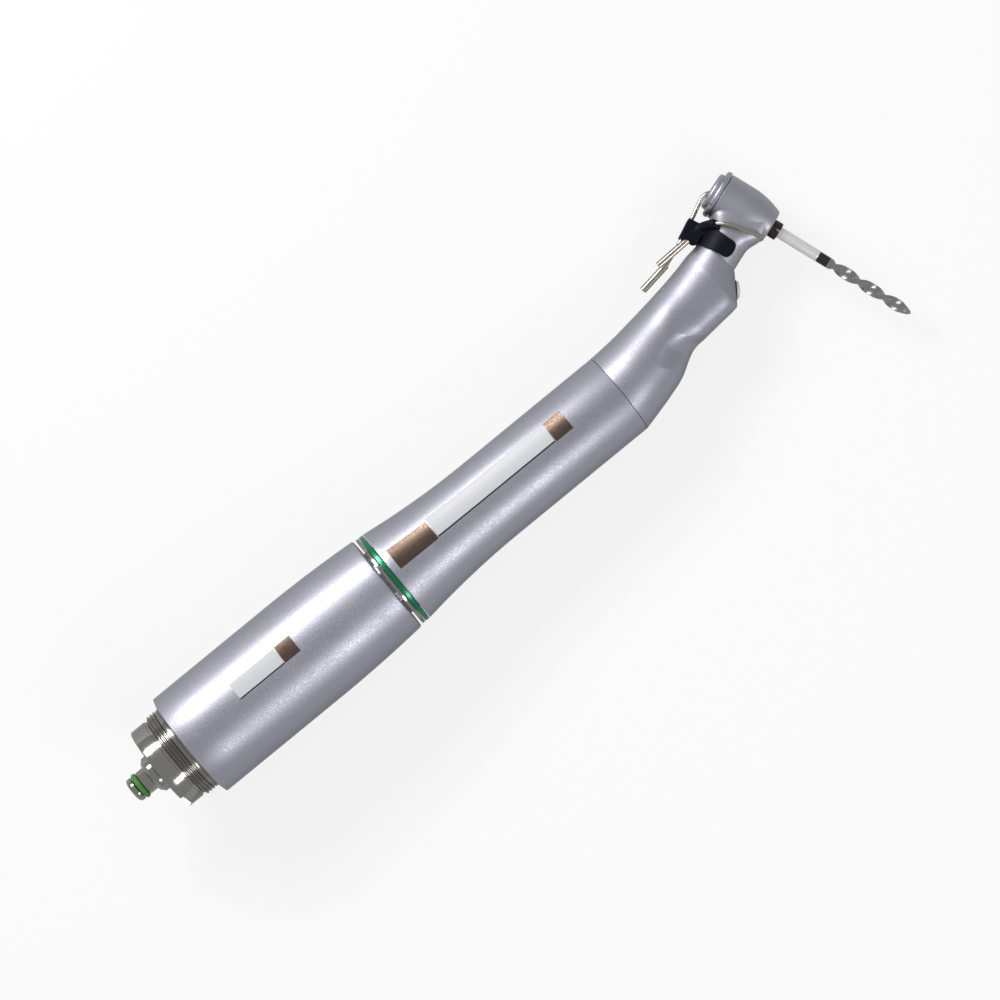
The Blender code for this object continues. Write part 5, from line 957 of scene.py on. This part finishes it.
# %% Tubes
def swept_tube(name, route, radius, hole_at, stands_for=()):
    """A round tube along a route of points in mm, hollow at the ends that are named."""
    curve = bpy.data.curves.new(name, "CURVE")
    curve.dimensions = "3D"
    curve.bevel_depth = radius * MM
    curve.bevel_resolution = 6
    spline = curve.splines.new("POLY")
    count = 8 * (len(route) - 1)
    spline.points.add(count)
    vectors = [Vector(point) for point in route]
    for n, point in enumerate(spline.points):
        point.co = (*(through(vectors, n / 8) * MM), 1.0)
    shaper = bpy.data.objects.new(name, curve)
    bpy.context.collection.objects.link(shaper)
    drawn = shaper.evaluated_get(bpy.context.evaluated_depsgraph_get())
    mesh = bpy.data.meshes.new_from_object(drawn)
    bm = bmesh.new()
    bm.from_mesh(mesh)
    bpy.data.objects.remove(shaper)
    bmesh.ops.remove_doubles(bm, verts=bm.verts, dist=1e-7)
    for at_end in (False, True):
        end = vectors[-1] if at_end else vectors[0]
        inward = (vectors[-2] if at_end else vectors[1]) - end
        rim = [e for e in bm.edges if e.is_boundary
               and (e.verts[0].co / MM - end).length < 3 * radius]
        if at_end not in hole_at:
            bmesh.ops.holes_fill(bm, edges=rim, sides=0)
            continue
        for shrink, depth in ((0.68, 0.0), (1.0, 1.2)):
            grown = bmesh.ops.extrude_edge_only(bm, edges=rim)["geom"]
            ring = [e for e in grown if isinstance(e, bmesh.types.BMVert)]
            rim = [e for e in grown if isinstance(e, bmesh.types.BMEdge)]
            for vert in ring:
                vert.co = end * MM + (vert.co - end * MM) * shrink
            bmesh.ops.translate(bm, vec=inward.normalized() * depth * MM, verts=ring)
        bmesh.ops.holes_fill(bm, edges=rim, sides=0)
    bmesh.ops.recalc_face_normals(bm, faces=bm.faces)
    return add_piece(name, bm, NECK, tube_steel, "nozzle", *stands_for, slot="tube_steel")


spray = [(27.2, 6.92, 1.6), (30.4, 5.97, 2.2), (32.3, 4.17, 4.28), (33.6, 1.2, 5.48),
         (34.3, -2.0, 5.58), (35.0, -5.8, 4.98)]
irrigation = [(20.2, 7.97, -1.0), (26.0, 7.97, -0.9), (31.2, 8.42, -0.5), (35.0, 8.87, -0.2),
              (36.2, 8.9, -0.1), (37.1, 8.62, 0.0), (37.8, 8.05, 0.0), (38.2, 7.47, 0.0),
              (38.3, 7.09, 0.0)]
spray_inlet = [(19.4, 9.27, 1.6), (23.5, 8.02, 1.6), (27.6, 6.77, 1.6)]
irrigation_inlet = [(13.7, 9.27, -1.0), (17.2, 8.6, -1.0), (20.6, 7.97, -1.0)]
swept_tube("spray_tube_swept", spray, 0.475, (True,), ("spray_tube",))
swept_tube("irrigation_tube_swept", irrigation, 0.45, (), ("irrigation_tube",))
swept_tube("spray_inlet", spray_inlet, 0.75, (False,))
swept_tube("irrigation_inlet", irrigation_inlet, 0.75, (False, True))
print("clip and tubes made")

# %% [markdown]
# ## Table and light
# The photograph was taken on white paper, lit so evenly that the paper prints white. The floor
# here gives off plain white to the camera and keeps only a part of its shadow. In reflections it
# is darker, which keeps the shells from turning white. Two lamps above the cap side draw the
# bright line on the shells, and a weaker one on the other side draws the second line.

# %% White floor
PAPER_TONE = 0.9
REFLECTED_TONE = 0.6
GLOW_SHARE = 0.8
FLOOR_LEVEL = -0.0002
floor_mesh = bpy.data.meshes.new("floor")
bm = bmesh.new()
bmesh.ops.create_grid(bm, x_segments=1, y_segments=1, size=2.0)
bm.to_mesh(floor_mesh)
bm.free()
floor = bpy.data.objects.new("floor", floor_mesh)
bpy.context.collection.objects.link(floor)
floor.location.z = FLOOR_LEVEL
white_paper = bpy.data.materials.new("white_paper")
white_paper.use_nodes = True
tree = white_paper.node_tree
tree.nodes.clear()
rays = add_node(tree, "LightPath")
tone = add_node(tree, "MapRange", {"Value": rays.outputs["Is Glossy Ray"],
                                   "To Min": PAPER_TONE, "To Max": REFLECTED_TONE})
paper = add_node(tree, "BsdfDiffuse", {"Color": tone.outputs["Result"]})
glow = add_node(tree, "Emission", {"Color": linear("FFFFFF"), "Strength": 1.0})
seen = add_node(tree, "Math", {0: rays.outputs["Is Camera Ray"],
                               1: rays.outputs["Is Transmission Ray"]}, operation="MAXIMUM")
share = add_node(tree, "Math", {0: seen.outputs["Value"], 1: GLOW_SHARE},
                 operation="MULTIPLY")
mixed = add_node(tree, "MixShader", {0: share.outputs["Value"], 1: paper.outputs["BSDF"],
                                     2: glow.outputs["Emission"]})
add_node(tree, "OutputMaterial", {"Surface": mixed.outputs["Shader"]})
floor_mesh.materials.append(white_paper)
print("floor laid")


# %% Lamps
LAMP_TARGET = 80
LAMP_DISTANCE = 0.6
KEY_TILT = radians(54)
FILL_TILT = radians(-49)
ROOM_COLOUR = (0.97, 0.97, 1.0, 1.0)
ROOM_STRENGTH = 0.41


def strip_lamp(name, tilt, slide, length, width, power):
    """A long lamp over the handpiece, tilted from upright towards its cap side."""
    lamp_data = bpy.data.lights.new(name, "AREA")
    lamp_data.shape = "RECTANGLE"
    lamp_data.size = length
    lamp_data.size_y = width
    lamp_data.energy = power
    lamp = bpy.data.objects.new(name, lamp_data)
    bpy.context.collection.objects.link(lamp)
    target = MOTOR @ Vector((LAMP_TARGET * MM, 0.0, 0.0))
    lean = MOTOR.to_3x3() @ Vector((slide, sin(tilt), cos(tilt)))
    spot = target + lean.normalized() * LAMP_DISTANCE
    back = (spot - target).normalized()
    side = forward - back * forward.dot(back)
    side.normalize()
    up = back.cross(side)
    columns = (side, up, back, spot)
    lamp.matrix_world = Matrix([[c[row] for c in columns] for row in range(3)] + [[0, 0, 0, 1]])
    return lamp


strip_lamp("key_strip", KEY_TILT, -0.034, 0.26, 0.14, 1.75)
strip_lamp("key_tail", KEY_TILT, -0.3, 0.14, 0.16, 0.6)
strip_lamp("fill_strip", FILL_TILT, 0.075, 0.36, 0.12, 0.88)
world = bpy.data.worlds.new("plain_room")
bpy.context.scene.world = world
world.use_nodes = True
room = world.node_tree.nodes["Background"]
room.inputs["Color"].default_value = ROOM_COLOUR
room.inputs["Strength"].default_value = ROOM_STRENGTH
